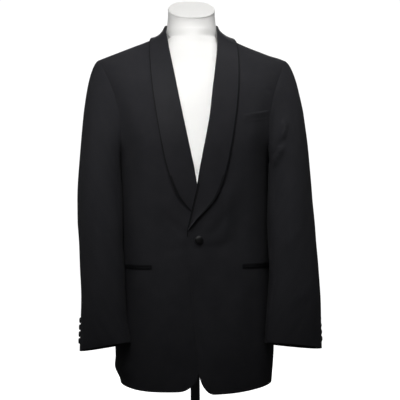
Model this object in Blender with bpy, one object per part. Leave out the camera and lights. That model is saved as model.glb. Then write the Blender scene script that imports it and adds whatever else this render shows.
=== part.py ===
"""Tuxedo jacket with a shawl collar and one covered button, on a limbless dress form and its stand.

Metres, +Z up. The front of the jacket faces -Y and its wearer's left is at +X. The origin is the centre
of the underside of the stand's base. Every cloth panel is a wall of real thickness on one body surface,
which is worked out from the section tables below.
"""
from math import asin, atan2, cos, degrees, pi, radians, sin

import bpy
from mathutils import Vector

# ---------------------------------------------------------------- driving dimensions
CLOTH = 0.0016            # wall of a cloth panel
SEAM_GAP = 0.0003         # clear space between two neighbouring pieces
ROUNDNESS = 2.4           # exponent of the level sections of the body
ARCH = 2.3                # exponent of the fore and aft arch over the shoulders
UNDERARM_Z = 0.675        # height of the lowest point of the armholes
YOKE = 0.24               # nominal height from the underarm to the shoulder ridge
RIDGE_Y = 0.012           # the shoulder seams lie this far behind the middle
DROP_PER_DEGREE = 0.0055  # height for each degree of lift below the underarm
SHARP_ANGLE = radians(40)  # faces that meet more steeply than this show an edge
SIDES = (("left", 1.0), ("right", -1.0))

# Level sections of the jacket: nominal height, half width, front depth, back depth
BODY = (
    (0.130, 0.1715, 0.150, 0.130),
    (0.185, 0.1765, 0.152, 0.134),
    (0.240, 0.1800, 0.153, 0.137),
    (0.330, 0.1795, 0.151, 0.136),
    (0.430, 0.1755, 0.148, 0.130),
    (0.520, 0.1715, 0.149, 0.125),
    (0.600, 0.1705, 0.156, 0.132),
    (0.675, 0.1760, 0.161, 0.141),
    (0.710, 0.1870, 0.162, 0.144),
    (0.760, 0.2000, 0.161, 0.146),
    (0.830, 0.2140, 0.157, 0.146),
    (0.915, 0.2350, 0.152, 0.144),
)
# Shoulder ridge: distance from the middle, height
RIDGE = (
    (0.000, 0.9560),
    (0.050, 0.9565),
    (0.080, 0.9510),
    (0.120, 0.9350),
    (0.170, 0.9160),
    (0.2125, 0.9000),
    (0.250, 0.8840),
)
# Armhole edge: nominal height, half width at the front, half width at the back
ARMHOLE = (
    (0.675, 0.1670, 0.1670),
    (0.700, 0.1650, 0.1690),
    (0.750, 0.1660, 0.1750),
    (0.800, 0.1740, 0.1840),
    (0.840, 0.1860, 0.1930),
    (0.880, 0.2010, 0.2040),
    (0.915, 0.2125, 0.2125),
)
# Front edge and, above the break, the line just inside the roll: nominal height, distance past the middle
FRONT_EDGE = (
    (0.130, 0.0055),
    (0.204, 0.0000),
    (0.350, -0.0118),
    (0.470, -0.0220),
    (0.512, -0.0222),
    (0.560, -0.0095),
    (0.615, 0.0030),
    (0.700, 0.0205),
    (0.780, 0.0372),
    (0.850, 0.0525),
    (0.890, 0.0620),
    (0.915, 0.0760),
)
# Hem: half width, height on the left front, height on the right front, height on the back
HEM = (
    (0.000, 0.1545, 0.1615, 0.1640),
    (0.060, 0.1560, 0.1605, 0.1640),
    (0.110, 0.1595, 0.1605, 0.1640),
    (0.150, 0.1635, 0.1635, 0.1645),
    (0.180, 0.1665, 0.1665, 0.1665),
)
CUTAWAY = 0.042           # radius of the rounded front corners
LAP = 0.0012              # each front is moved this far where the left laps over the right
LAP_DEEP = 0.0023         # the same where the lower lapel lies between the two
LAP_REACH = (0.030, 0.070)  # half widths between which the lap fades out
LAP_DEEPENS = (0.46, 0.51)  # heights between which it grows from the one to the other
LAP_ENDS = (0.66, 0.76)     # heights between which it fades out above the break

# ---------------------------------------------------------------- lapel and collar
# Lapel stations up the front: roll line x, z, height off the front; outer edge x, z
LAPEL = (
    (-0.0215, 0.5140, 0.0021, -0.0185, 0.5150),
    (-0.0150, 0.5400, 0.0022, -0.0010, 0.5390),
    (-0.0080, 0.5750, 0.0023, 0.0190, 0.5600),
    (0.0000, 0.6150, 0.0026, 0.0400, 0.5860),
    (0.0085, 0.6600, 0.0034, 0.0570, 0.6250),
    (0.0190, 0.7100, 0.0042, 0.0690, 0.6680),
    (0.0290, 0.7600, 0.0050, 0.0790, 0.7180),
    (0.0382, 0.8100, 0.0056, 0.0880, 0.7740),
    (0.0460, 0.8550, 0.0060, 0.0945, 0.8250),
    (0.0515, 0.8900, 0.0064, 0.0975, 0.8660),
    (0.0560, 0.9200, 0.0080, 0.0985, 0.9000),
)
# Collar stations round the neck: x and lift angle of the roll line, its height; x and lift angle of the edge
COLLAR = (
    (0.0595, 74.0, 0.0120, 0.0975, 69.0),
    (0.0610, 84.0, 0.0185, 0.0920, 82.0),
    (0.0600, 92.0, 0.0230, 0.0830, 95.0),
    (0.0500, 99.0, 0.0290, 0.0680, 106.0),
    (0.0320, 103.5, 0.0345, 0.0420, 112.0),
    (0.0000, 107.5, 0.0385, 0.0000, 114.5),
)
# Foot of the stand inside the neck: x and lift angle, for each collar station
STAND_FOOT = (
    (0.0590, 76.0),
    (0.0640, 85.0),
    (0.0640, 94.0),
    (0.0550, 98.5),
    (0.0350, 101.8),
    (0.0000, 106.8),
)


# ---------------------------------------------------------------- curves through the tables
def read(table, key, column):
    """Smooth curve through one column of a table, whose first column is the key."""
    last = len(table) - 1
    key = min(max(key, table[0][0]), table[last][0])
    i = 0
    while i < last - 1 and key > table[i + 1][0]:
        i += 1
    span = table[i + 1][0] - table[i][0]
    t = (key - table[i][0]) / span
    a = table[i][column]
    b = table[i + 1][column]
    before = slope(table, i, column) * span
    after = slope(table, i + 1, column) * span
    return (
        a * (2 * t**3 - 3 * t**2 + 1)
        + b * (3 * t**2 - 2 * t**3)
        + before * (t**3 - 2 * t**2 + t)
        + after * (t**3 - t**2)
    )


def slope(table, i, column):
    low = max(i - 1, 0)
    high = min(i + 1, len(table) - 1)
    return (table[high][column] - table[low][column]) / (table[high][0] - table[low][0])


def glide(points, t):
    """Point on a smooth curve through equally spaced rows of numbers; t counts rows."""
    last = len(points) - 1
    i = min(max(int(t), 0), last - 1)
    t = t - i
    p = [points[min(max(i + k, 0), last)] for k in (-1, 0, 1, 2)]
    out = []
    for a, b, c, d in zip(*p):
        out.append(
            0.5 * (2 * b + (c - a) * t + (2 * a - 5 * b + 4 * c - d) * t**2 + (3 * b - a - 3 * c + d) * t**3)
        )
    return out


def fade(value, low, high):
    """0 below low, 1 above high, smooth between."""
    t = min(max((value - low) / (high - low), 0.0), 1.0)
    return t * t * (3 - 2 * t)


# ---------------------------------------------------------------- the body surface
def ridge(x):
    return read(RIDGE, abs(x), 1)


def nominal(lift):
    """Nominal height for a lift angle: 0 at the underarm, 90 on the ridge, 180 at the back underarm."""
    if lift < 0:
        return UNDERARM_Z + DROP_PER_DEGREE * lift
    if lift > 180:
        return UNDERARM_Z - DROP_PER_DEGREE * (lift - 180)
    return UNDERARM_Z + YOKE * sin(radians(lift)) ** (2 / ARCH)


def lift_of_nominal(height, back=False):
    if height < UNDERARM_Z:
        lift = (height - UNDERARM_Z) / DROP_PER_DEGREE
    else:
        share = min((height - UNDERARM_Z) / YOKE, 1.0)
        lift = degrees(asin(share ** (ARCH / 2)))
    return 180 - lift if back else lift


def lift_of_height(x, z, back=False):
    """Lift angle of the point of the surface at x and at true height z."""
    if z < UNDERARM_Z:
        return lift_of_nominal(z, back)
    share = min((z - UNDERARM_Z) / (ridge(x) - UNDERARM_Z), 1.0)
    return lift_of_nominal(UNDERARM_Z + YOKE * share, back)


def skin(x, lift):
    """Point of the middle of the cloth at distance x from the middle."""
    height = nominal(lift)
    back = lift > 90
    half = read(BODY, height, 1)
    deep = read(BODY, height, 3 if back else 2)
    flat = (1 - min(abs(x) / half, 1.0) ** ROUNDNESS) ** (1 / ROUNDNESS)
    y = deep * flat if back else -deep * flat
    if 0 < lift < 180:
        share = (height - UNDERARM_Z) / YOKE
        y = RIDGE_Y + (y - RIDGE_Y) * abs(cos(radians(lift))) ** (2 / ARCH)
        z = UNDERARM_Z + (ridge(x) - UNDERARM_Z) * share
    else:
        z = height
    return Vector((x, y, z))


def level_normal(x, lift):
    """Normal of the level sections below the armholes, leaning with their flare."""
    height = nominal(lift)
    back = lift > 90
    column = 3 if back else 2
    step = 0.002
    half = read(BODY, height, 1)
    deep = read(BODY, height, column)
    half_flare = (read(BODY, height + step, 1) - read(BODY, height - step, 1)) / (2 * step)
    deep_flare = (read(BODY, height + step, column) - read(BODY, height - step, column)) / (2 * step)
    a = min(abs(x) / half, 1.0)
    b = (1 - a**ROUNDNESS) ** (1 / ROUNDNESS)
    nx = a ** (ROUNDNESS - 1) / half
    ny = b ** (ROUNDNESS - 1) / deep
    nz = -(a**ROUNDNESS * half_flare / half + b**ROUNDNESS * deep_flare / deep)
    return Vector((nx if x >= 0 else -nx, ny if back else -ny, nz)).normalized()


def outward(x, lift):
    """Unit normal of the body surface, pointing out of the jacket."""
    if lift <= 0 or lift >= 180:
        return level_normal(x, lift)
    step_x = 0.001
    step_lift = min(0.4, lift, 180 - lift)
    along = skin(x + step_x, lift) - skin(x - step_x, lift)
    up = skin(x, lift + step_lift) - skin(x, lift - step_lift)
    return along.cross(up).normalized()


def across(turn, half):
    """Distance from the middle for a turn of 0 (middle) to 1 (side)."""
    size = half * sin(min(abs(turn), 1.0) * pi / 2) ** (2 / ROUNDNESS)
    return size if turn >= 0 else -size


def turn_of(x, half):
    size = asin(min((abs(x) / half), 1.0) ** (ROUNDNESS / 2)) * 2 / pi
    return size if x >= 0 else -size


# ---------------------------------------------------------------- walls from grids of points
def normals_of(grid, way):
    """A unit normal at each point of a grid of rows, from its neighbours."""
    rows = len(grid)
    columns = len(grid[0])
    out = []
    for i in range(rows):
        line = []
        for j in range(columns):
            down = grid[max(i - 1, 0)][j]
            up = grid[min(i + 1, rows - 1)][j]
            near = grid[i][max(j - 1, 0)]
            far = grid[i][min(j + 1, columns - 1)]
            line.append((far - near).cross(up - down).normalized() * way)
        out.append(line)
    return out


def add_object(name, points, faces, material):
    mesh = bpy.data.meshes.new(name)
    mesh.from_pydata([tuple(p) for p in points], [], faces)
    mesh.validate()
    mesh.update()
    mesh.materials.append(material)
    mesh.shade_smooth()
    mesh.set_sharp_from_angle(angle=SHARP_ANGLE)
    item = bpy.data.objects.new(name, mesh)
    bpy.context.scene.collection.objects.link(item)
    return item


def wall(name, grid, normals, material, thick=CLOTH, flip=False):
    """Closed wall of even thickness on a grid of rows of points; flip turns its faces round."""
    rows = len(grid)
    columns = len(grid[0])
    points = []
    for side in (0.5, -0.5):
        for i in range(rows):
            for j in range(columns):
                points.append(grid[i][j] + normals[i][j] * (thick * side))
    inner = rows * columns
    faces = []
    for i in range(rows - 1):
        for j in range(columns - 1):
            a = i * columns + j
            b = a + 1
            c = b + columns
            d = a + columns
            faces.append((a, b, c, d))
            faces.append((inner + a, inner + d, inner + c, inner + b))
    top = (rows - 1) * columns
    for j in range(columns - 1):
        k = j + 1
        faces.append((k, j, inner + j, inner + k))
        faces.append((top + j, top + k, inner + top + k, inner + top + j))
    for i in range(rows - 1):
        a = i * columns
        b = a + columns
        faces.append((a, b, inner + b, inner + a))
        a += columns - 1
        b += columns - 1
        faces.append((b, a, inner + a, inner + b))
    if flip:
        faces = [tuple(reversed(face)) for face in faces]
    return add_object(name, points, faces, material)


def steps(count):
    return [i / count for i in range(count + 1)]


# ---------------------------------------------------------------- materials
def finish(name, colour, roughness, metallic=0.0):
    material = bpy.data.materials.new(name)
    material.use_nodes = True
    shader = material.node_tree.nodes["Principled BSDF"]
    shader.inputs["Base Color"].default_value = (*colour, 1.0)
    shader.inputs["Roughness"].default_value = roughness
    shader.inputs["Metallic"].default_value = metallic
    material.diffuse_color = (*colour, 1.0)
    return material


# ---------------------------------------------------------------- front, side and back panels
SKIRT_ROWS = 13           # rows of quads from hem to underarm
# Lift angles of the rows from underarm to ridge; the panels stop half a seam gap short of the ridge
YOKE_LIFTS = (0.0, 13.0, 26.0, 38.0, 50.0, 61.0, 72.0, 81.0, 89.97)
YOKE_ROWS = len(YOKE_LIFTS) - 1
FRONT_SHARES = (0.0, 0.03, 0.09, 0.17, 0.28, 0.40, 0.53, 0.67, 0.83, 1.0)
BACK_SHARES = steps(7)
SIDE_SHARES = steps(4)
SIDE_TURN = turn_of(read(ARMHOLE, UNDERARM_Z, 1), read(BODY, UNDERARM_Z, 1))
HALF_GAP_TURN = 0.0006    # half a seam gap, as a turn round the body
UNDERARM_DIP = 0.006      # the armhole's lowest point is this far below the ends of the side seams
BACK_NECK = 0.9047        # nominal height of the neckline at the centre back
BACK_NECK_POWER = 0.7     # below 1 the back neck starts out level and turns up at the shoulder
HEM_LEVEL = 0.17          # the hem's own heights are read at the widths of this level


def lap_shift(side, x, z):
    """How far a front is moved out (left) or in (right) where the left one laps over the right."""
    near = 1 - fade(abs(x), *LAP_REACH)
    deep = fade(z, *LAP_DEEPENS)
    low = 1 - fade(z, *LAP_ENDS)
    return side * near * low * (LAP + (LAP_DEEP - LAP) * deep)


def hem_height(side, x, back):
    if back:
        return read(HEM, abs(x), 3)
    column = 1 if side > 0 else 2
    low = read(HEM, max(x, 0.0), column)
    inset = x - read(FRONT_EDGE, HEM_LEVEL, 1)
    if inset < CUTAWAY:
        low += CUTAWAY - (CUTAWAY**2 - (CUTAWAY - inset) ** 2) ** 0.5
    return low


def panel_grid(side, shares, inner, outer, back):
    """Points and normals in rows from hem to ridge, from the middle out to the seam or armhole."""
    grid = []
    normals = []
    for i in range(SKIRT_ROWS + YOKE_ROWS + 1):
        row = []
        row_normals = []
        for share in shares:
            low_half = read(BODY, HEM_LEVEL, 1)
            low_start = turn_of(inner(HEM_LEVEL), low_half)
            low_x = across(low_start + (outer(HEM_LEVEL) - low_start) * share, low_half)
            low = hem_height(side, low_x, back)
            if i <= SKIRT_ROWS:
                height = low + (UNDERARM_Z - low) * i / SKIRT_ROWS
                lift = lift_of_nominal(height)
            else:
                lift = YOKE_LIFTS[i - SKIRT_ROWS]
                height = nominal(lift)
            half = read(BODY, height, 1)
            start = turn_of(inner(height), half)
            turn = start + (outer(height) - start) * share
            x = side * across(turn, half)
            if back:
                lift = 180 - lift
            normal = outward(x, lift)
            place = skin(x, lift)
            if not back:
                place += normal * lap_shift(side, x, place.z)
            row.append(place)
            row_normals.append(normal)
        grid.append(row)
        normals.append(row_normals)
    return grid, normals


def front_inner(height):
    return read(FRONT_EDGE, height, 1)


def outer_turn(height, column):
    """Turn of the side seam or, above the underarm, of the armhole edge."""
    if height < UNDERARM_Z:
        return SIDE_TURN - HALF_GAP_TURN
    return turn_of(read(ARMHOLE, height, column), read(BODY, height, 1)) - HALF_GAP_TURN


def back_inner(height):
    """The back neck curves out to the shoulder from a little below the ridge."""
    seam = SEAM_GAP / 2
    top = FRONT_EDGE[-1][0]
    share = min(max((height - BACK_NECK) / (top - BACK_NECK), 0.0), 1.0)
    return seam + (FRONT_EDGE[-1][1] - seam) * share**BACK_NECK_POWER


def build_panels(wool):
    for label, side in SIDES:
        grid, normals = panel_grid(side, FRONT_SHARES, front_inner, lambda h: outer_turn(h, 1), False)
        wall("front_" + label, grid, normals, wool, flip=side < 0)
        grid, normals = panel_grid(side, BACK_SHARES, back_inner, lambda h: outer_turn(h, 2), True)
        wall("back_" + label, grid, normals, wool, flip=side > 0)
        build_side(label, side, wool)


def side_point(side, turn, height):
    """Point and normal for a turn of 0 (middle of the front) to 2 (middle of the back)."""
    back = turn > 1
    x = side * across(2 - turn if back else turn, read(BODY, height, 1))
    lift = lift_of_nominal(height, back)
    return skin(x, lift), outward(x, lift)


def underarm_height(turn):
    share = (turn - SIDE_TURN) / (2 - 2 * SIDE_TURN)
    return UNDERARM_Z - UNDERARM_DIP * sin(pi * min(max(share, 0.0), 1.0))


def build_side(label, side, wool):
    grid = []
    normals = []
    start = SIDE_TURN + HALF_GAP_TURN
    for i in range(SKIRT_ROWS + 1):
        row = []
        row_normals = []
        for share in SIDE_SHARES:
            turn = start + (2 - 2 * start) * share
            low = hem_height(side, across(min(turn, 2 - turn), read(BODY, HEM_LEVEL, 1)), False)
            height = low + (underarm_height(turn) - low) * i / SKIRT_ROWS
            place, normal = side_point(side, turn, height)
            row.append(place)
            row_normals.append(normal)
        grid.append(row)
        normals.append(row_normals)
    wall("side_" + label, grid, normals, wool, flip=side < 0)


# ---------------------------------------------------------------- sleeves
# Sleeve sections: height, centre x, centre y, half width, half depth; wearer's left, then right
SLEEVE = {
    "left": (
        (0.255, 0.2140, -0.0980, 0.0640, 0.0400),
        (0.310, 0.2158, -0.0920, 0.0622, 0.0450),
        (0.370, 0.2195, -0.0830, 0.0590, 0.0500),
        (0.430, 0.2200, -0.0720, 0.0562, 0.0550),
        (0.490, 0.2172, -0.0600, 0.0557, 0.0600),
        (0.570, 0.2154, -0.0450, 0.0533, 0.0660),
        (0.635, 0.2140, -0.0300, 0.0520, 0.0720),
    ),
    "right": (
        (0.251, 0.2040, -0.0980, 0.0530, 0.0400),
        (0.310, 0.2068, -0.0920, 0.0500, 0.0450),
        (0.370, 0.2070, -0.0830, 0.0495, 0.0500),
        (0.430, 0.2085, -0.0720, 0.0495, 0.0550),
        (0.490, 0.2110, -0.0600, 0.0490, 0.0600),
        (0.570, 0.2115, -0.0450, 0.0530, 0.0660),
        (0.635, 0.2110, -0.0300, 0.0510, 0.0720),
    ),
}
# Seams of the sleeves, as angles round the tube from its outermost line towards the front:
# share of the way down, front seam, hind seam
SLEEVE_SEAMS = (
    (0.0, 125.0, -100.0),
    (0.5, 135.0, -85.0),
    (1.0, 150.0, -30.0),
)
HEAD_ROWS = 8             # rows of quads from the armhole to the upper arm
TUBE_ROWS = 10            # rows of quads from the upper arm to the cuff
FRONT_SEAM = YOKE_ROWS - 1          # column of the front seam, counted from the shoulder forwards
HIND_SEAM = -(YOKE_ROWS - 2)        # column of the hind seam, counted backwards
SLEEVE_COLUMNS = 2 * YOKE_ROWS + len(SIDE_SHARES) - 1
SEAM_PULL = 0.016         # half a seam gap, as a share of a column
SLEEVE_CLEAR = 0.0026     # middle of the sleeve to middle of the body where they lie together
POCKET_CLEAR = 0.0026     # more room over the hip pockets
POCKET_HEIGHT = 0.4350    # height of the mouths of the hip pockets
HEAD_PUFF = 0.0265        # first reach of the sleeve head out of the armhole
CUFF_LEAN_SIDE = 0.11     # the cuff drops this much for each unit outwards
CUFF_LEAN_BACK = 0.18     # and this much for each unit backwards
SLEEVE_EASE = 0.00035     # start of the sleeve beyond the armhole edge
CUFF_LEAN_FROM = 0.4      # the cuff's slope grows from this share of the way down the tube
UNDER_PUFF = 0.3          # share of the head's reach left on the body side of the arm
PUFF_DIP = 0.1            # the head drops this much for each unit of its reach
HEAD_TUCK = 0.012         # the outer line bows in by this much above the upper arm
HEAD_FALL = (0.4, 0.22)   # share of the fall held by the end's pull, and its gain on the outer side
SIDE_SOFT = 0.003         # the sleeve leaves the side of the body over about this distance
SIDE_BLEND = 0.012        # below the armhole it comes to lie by the body within this height
POCKET_REACH = (0.02, 0.09)  # the room over the pockets fades between these heights from their mouths
SLOPE_STEP = 0.004        # step down the sleeve over which its slope is measured


def armhole_loop(side):
    """Corners of the armhole edge with their normals: shoulder, front, underarm, back, shoulder."""
    path = []
    for lift in reversed(YOKE_LIFTS):
        x = side * read(ARMHOLE, nominal(lift), 1)
        path.append((skin(x, lift), outward(x, lift)))
    for share in SIDE_SHARES[1:-1]:
        turn = SIDE_TURN + (2 - 2 * SIDE_TURN) * share
        path.append(side_point(side, turn, underarm_height(turn)))
    for lift in YOKE_LIFTS:
        x = side * read(ARMHOLE, nominal(lift), 2)
        path.append((skin(x, 180 - lift), outward(x, 180 - lift)))
    return path


def loop_lengths(path):
    lengths = [0.0]
    for (a, _), (b, _) in zip(path, path[1:]):
        lengths.append(lengths[-1] + (b - a).length)
    return lengths


class Sleeve:
    """Surface of one sleeve: down runs from 0 at the armhole to 1 at the cuff, column runs round it."""

    def __init__(self, label, side):
        self.side = side
        self.table = SLEEVE[label]
        self.path = armhole_loop(side)
        lengths = loop_lengths(self.path)
        self.shares = [length / lengths[-1] for length in lengths]

    def start_angle(self, column):
        whole = column // SLEEVE_COLUMNS
        column -= whole * SLEEVE_COLUMNS
        i = min(int(column), SLEEVE_COLUMNS - 1)
        share = self.shares[i] + (self.shares[i + 1] - self.shares[i]) * (column - i)
        return 360 * (share + whole)

    def angle(self, down, column):
        """Angle round the tube, which turns with the seams on the way down."""
        front = read(SLEEVE_SEAMS, down, 1)
        hind = read(SLEEVE_SEAMS, down, 2)
        start_front = self.start_angle(FRONT_SEAM)
        start_hind = self.start_angle(HIND_SEAM)
        here = self.start_angle(column)
        if column <= FRONT_SEAM:
            return hind + (front - hind) * (here - start_hind) / (start_front - start_hind)
        share = (here - start_front) / (start_hind + 360 - start_front)
        return front + (hind + 360 - front) * share

    def armhole(self, column):
        column = column % SLEEVE_COLUMNS
        i = min(int(column), SLEEVE_COLUMNS - 1)
        (a, na), (b, nb) = self.path[i], self.path[i + 1]
        normal = (na + (nb - na) * (column - i)).normalized()
        ahead = self.path[min(i + 1, SLEEVE_COLUMNS)][0] - self.path[i][0]
        behind = self.path[i][0] - self.path[i - 1][0] if i > 0 and column == i else ahead
        out = (ahead.normalized() + behind.normalized()).cross(normal).normalized() * -self.side
        return a + (b - a) * (column - i), normal, out

    def ring(self, height, angle):
        cx = read(self.table, height, 1)
        cy = read(self.table, height, 2)
        c = cos(radians(angle))
        s = sin(radians(angle))
        x = cx + read(self.table, height, 3) * c
        y = cy - read(self.table, height, 4) * s
        return Vector((self.side * self.beside_body(x, y, height), y, height))

    def beside_body(self, x, y, height):
        """Keeps a point of the sleeve just outside the side of the body."""
        deep = read(BODY, height, 3 if y > 0 else 2)
        if abs(y) >= deep:
            return x
        body = read(BODY, height, 1) * (1 - (abs(y) / deep) ** ROUNDNESS) ** (1 / ROUNDNESS)
        near_pocket = 1 - fade(abs(height - POCKET_HEIGHT), *POCKET_REACH)
        body += SLEEVE_CLEAR + POCKET_CLEAR * near_pocket
        gap = x - body
        return body + 0.5 * (gap + (gap**2 + SIDE_SOFT**2) ** 0.5)

    def point(self, down, column):
        top = self.table[-1][0]
        head = HEAD_ROWS / (HEAD_ROWS + TUBE_ROWS)
        if down >= head:
            share = (down - head) / (1 - head)
            height = top + (self.table[0][0] - top) * share
            place = self.ring(height, self.angle(down, column))
            lean = fade(share, CUFF_LEAN_FROM, 1.0)
            middle_x = read(self.table, height, 1)
            middle_y = read(self.table, height, 2)
            place.z -= lean * CUFF_LEAN_SIDE * (abs(place.x) - middle_x)
            place.z -= lean * CUFF_LEAN_BACK * (place.y - middle_y)
            return place
        t = down / head
        start, normal, out = self.armhole(column)
        start = start + out * SLEEVE_EASE
        angle = self.angle(head, column)
        end = self.ring(top, angle)
        fall = start.z - end.z
        outer = max(cos(radians(angle)), 0.0)
        reach = HEAD_PUFF * (UNDER_PUFF + (1 - UNDER_PUFF) * outer)
        away = (out + Vector((self.side, 0, -PUFF_DIP))).normalized()
        first = start + away * reach
        held = HEAD_FALL[0] + HEAD_FALL[1] * outer
        second = end + Vector((-self.side * HEAD_TUCK * outer, 0, fall * held))
        place = (
            start * (1 - t) ** 3
            + first * (3 * t * (1 - t) ** 2)
            + second * (3 * t * t * (1 - t))
            + end * t**3
        )
        if place.z < UNDERARM_Z:
            clear = self.beside_body(abs(place.x), place.y, place.z)
            weight = fade(UNDERARM_Z - place.z, 0.0, SIDE_BLEND)
            place.x = self.side * (abs(place.x) + (clear - abs(place.x)) * weight)
        return place

    def normal(self, down, column):
        if down <= 0:
            return self.armhole(column)[1]
        low = max(down - SLOPE_STEP, 0.0)
        high = min(down + SLOPE_STEP, 1.0)
        around = self.point(down, column + 0.1) - self.point(down, column - 0.1)
        along = self.point(high, column) - self.point(low, column)
        return around.cross(along).normalized() * self.side


def build_sleeves(wool):
    rows = HEAD_ROWS + TUBE_ROWS
    pieces = (("top", HIND_SEAM, FRONT_SEAM), ("under", FRONT_SEAM, HIND_SEAM + SLEEVE_COLUMNS))
    for label, side in SIDES:
        sleeve = Sleeve(label, side)
        for piece, first, last in pieces:
            columns = [float(k) for k in range(first, last + 1)]
            columns[0] += SEAM_PULL
            columns[-1] -= SEAM_PULL
            grid = [[sleeve.point(i / rows, k) for k in columns] for i in range(rows + 1)]
            normals = [[sleeve.normal(i / rows, k) for k in columns] for i in range(rows + 1)]
            wall(piece + "_sleeve_" + label, grid, normals, wool, flip=side < 0)


# ---------------------------------------------------------------- shawl collar
COLLAR_STEPS = 3          # stations worked out for each row of the tables
FALL_SHARES = (0.0, 0.06, 0.16, 0.3, 0.5, 0.75, 1.0)
EDGE_HEIGHT = 0.0022      # middle of the collar's edge over the middle of the cloth below
TIP_REACH = 0.0012        # at its tip the lapel lies flat, this far past the roll line
TIP_FLAT = (0.530, 0.600) # heights between which the fold of the lapel grows out of the flat tip
FALL_POWER = 1.5          # how soon the fall comes down from the roll line to the cloth
ACROSS = (0, 3, 5)        # the columns of a station that are distances from the middle


def collar_rows():
    """Each station: roll x, lift angle and height, edge x and lift, foot x, lift and height.

    The last row is the mirrored station past the centre back, so that the halves meet smoothly.
    """
    rows = []
    for roll_x, roll_z, height, edge_x, edge_z in LAPEL:
        roll_lift = lift_of_height(roll_x, roll_z)
        edge_lift = lift_of_height(edge_x, edge_z)
        fold = fade(roll_z, *TIP_FLAT)
        foot_x = roll_x - TIP_REACH * (1 - fold)
        rows.append((roll_x, roll_lift, height, edge_x, edge_lift, foot_x, roll_lift, height * (1 - fold)))
    for (roll_x, roll_lift, height, edge_x, edge_lift), (foot_x, foot_lift) in zip(COLLAR, STAND_FOOT):
        rows.append((roll_x, roll_lift, height, edge_x, edge_lift, foot_x, foot_lift, 0.0))
    beyond = list(rows[-2])
    for k in ACROSS:
        beyond[k] = -beyond[k]
    rows.append(tuple(beyond))
    return rows


def build_collar(satin):
    rows = collar_rows()
    count = (len(rows) - 2) * COLLAR_STEPS
    for label, side in SIDES:
        grid = []
        for i in range(count + 1):
            station = glide(rows, i / COLLAR_STEPS)
            if i == count:
                for k in ACROSS:
                    station[k] = SEAM_GAP / 2
            grid.append(collar_section(side, *station))
        normals = normals_of(grid, side)
        for normal in normals[-1]:
            normal.x = 0.0
            normal.normalize()
        wall("collar_" + label, grid, normals, satin, flip=side < 0)


def collar_section(side, roll_x, roll_lift, height, edge_x, edge_lift, foot_x, foot_lift, foot_height):
    """Foot of the stand, up to the fold on the roll line, then down the fall to the outer edge."""
    section = [front_lie(side, foot_x, foot_lift, foot_height)]
    for share in FALL_SHARES:
        x = roll_x + (edge_x - roll_x) * share
        lift = roll_lift + (edge_lift - roll_lift) * share
        rise = EDGE_HEIGHT + (height - EDGE_HEIGHT) * (1 - share) ** FALL_POWER
        section.append(front_lie(side, x, lift, rise))
    return section


def front_lie(side, x, lift, height):
    """Point on one half, moved with its front where the fronts lap."""
    place = skin(side * x, lift)
    normal = outward(side * x, lift)
    if lift < 90:
        height += lap_shift(side, side * x, place.z)
    return place + normal * height


# ---------------------------------------------------------------- pockets
JET_WIDTH = 0.0045        # each of the two satin jets of a hip pocket
JET_THICK = 0.0012
JET_TURNS = (0.34, 0.86)  # hip pocket from its front end to its hind end, as turns round the body
JET_RISE = 0.0020         # the mouth's front end is this far above its middle height, its hind end below
JET_COLUMNS = 10
WELT_INNER = (0.1050, 0.7650)  # breast welt: x and height of the middle of its inner end
WELT_OUTER = (0.1640, 0.7740)  # and of its outer end
WELT_DEEP = 0.0200
WELT_THICK = 0.0014
WELT_COLUMNS = 6


def strip(name, middle, deep, thick, columns, material, side):
    """Band laid on the cloth: middle(share) gives x and height of its middle line."""
    stand_off = CLOTH / 2 + SEAM_GAP + thick / 2
    grid = []
    normals = []
    for share_up in (-0.5, 0.5):
        row = []
        row_normals = []
        for share in steps(columns):
            x, z = middle(share)
            lift = lift_of_height(x, z + deep * share_up)
            normal = outward(side * x, lift)
            row.append(skin(side * x, lift) + normal * stand_off)
            row_normals.append(normal)
        grid.append(row)
        normals.append(row_normals)
    wall(name, grid, normals, material, thick=thick, flip=side < 0)


def build_pockets(wool, satin):
    first, last = JET_TURNS
    for label, side in SIDES:
        for piece, way in (("upper", 1), ("lower", -1)):

            def jet_line(share, way=way):
                z = POCKET_HEIGHT + JET_RISE * (1 - 2 * share)
                x = across(first + (last - first) * share, read(BODY, z, 1))
                return x, z + way * (JET_WIDTH + SEAM_GAP) / 2

            strip(f"jet_{piece}_{label}", jet_line, JET_WIDTH, JET_THICK, JET_COLUMNS, satin, side)

    def welt_line(share):
        return tuple(a + (b - a) * share for a, b in zip(WELT_INNER, WELT_OUTER))

    strip("breast_welt", welt_line, WELT_DEEP, WELT_THICK, WELT_COLUMNS, wool, 1.0)


# ---------------------------------------------------------------- buttons
FRONT_BUTTON = (0.0000, 0.4925)   # x and height of the covered button
FRONT_BUTTON_WIDE = 0.0205
FRONT_BUTTON_DEEP = 0.0050
CUFF_BUTTON_WIDE = 0.0135
CUFF_BUTTON_DEEP = 0.0036
CUFF_BUTTON_PITCH = 0.0145
CUFF_BUTTON_FIRST = 0.022         # from the cuff's edge to the lowest button
BUTTON_CLEAR = 0.0004
BUTTON_SIDES = 20
BUTTON_PROFILE = ((0.80, 0.0), (1.0, 0.22), (1.0, 0.45), (0.86, 0.80), (0.5, 0.96))  # shares of radius, height
CUFF_BUTTONS = 4


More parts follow.
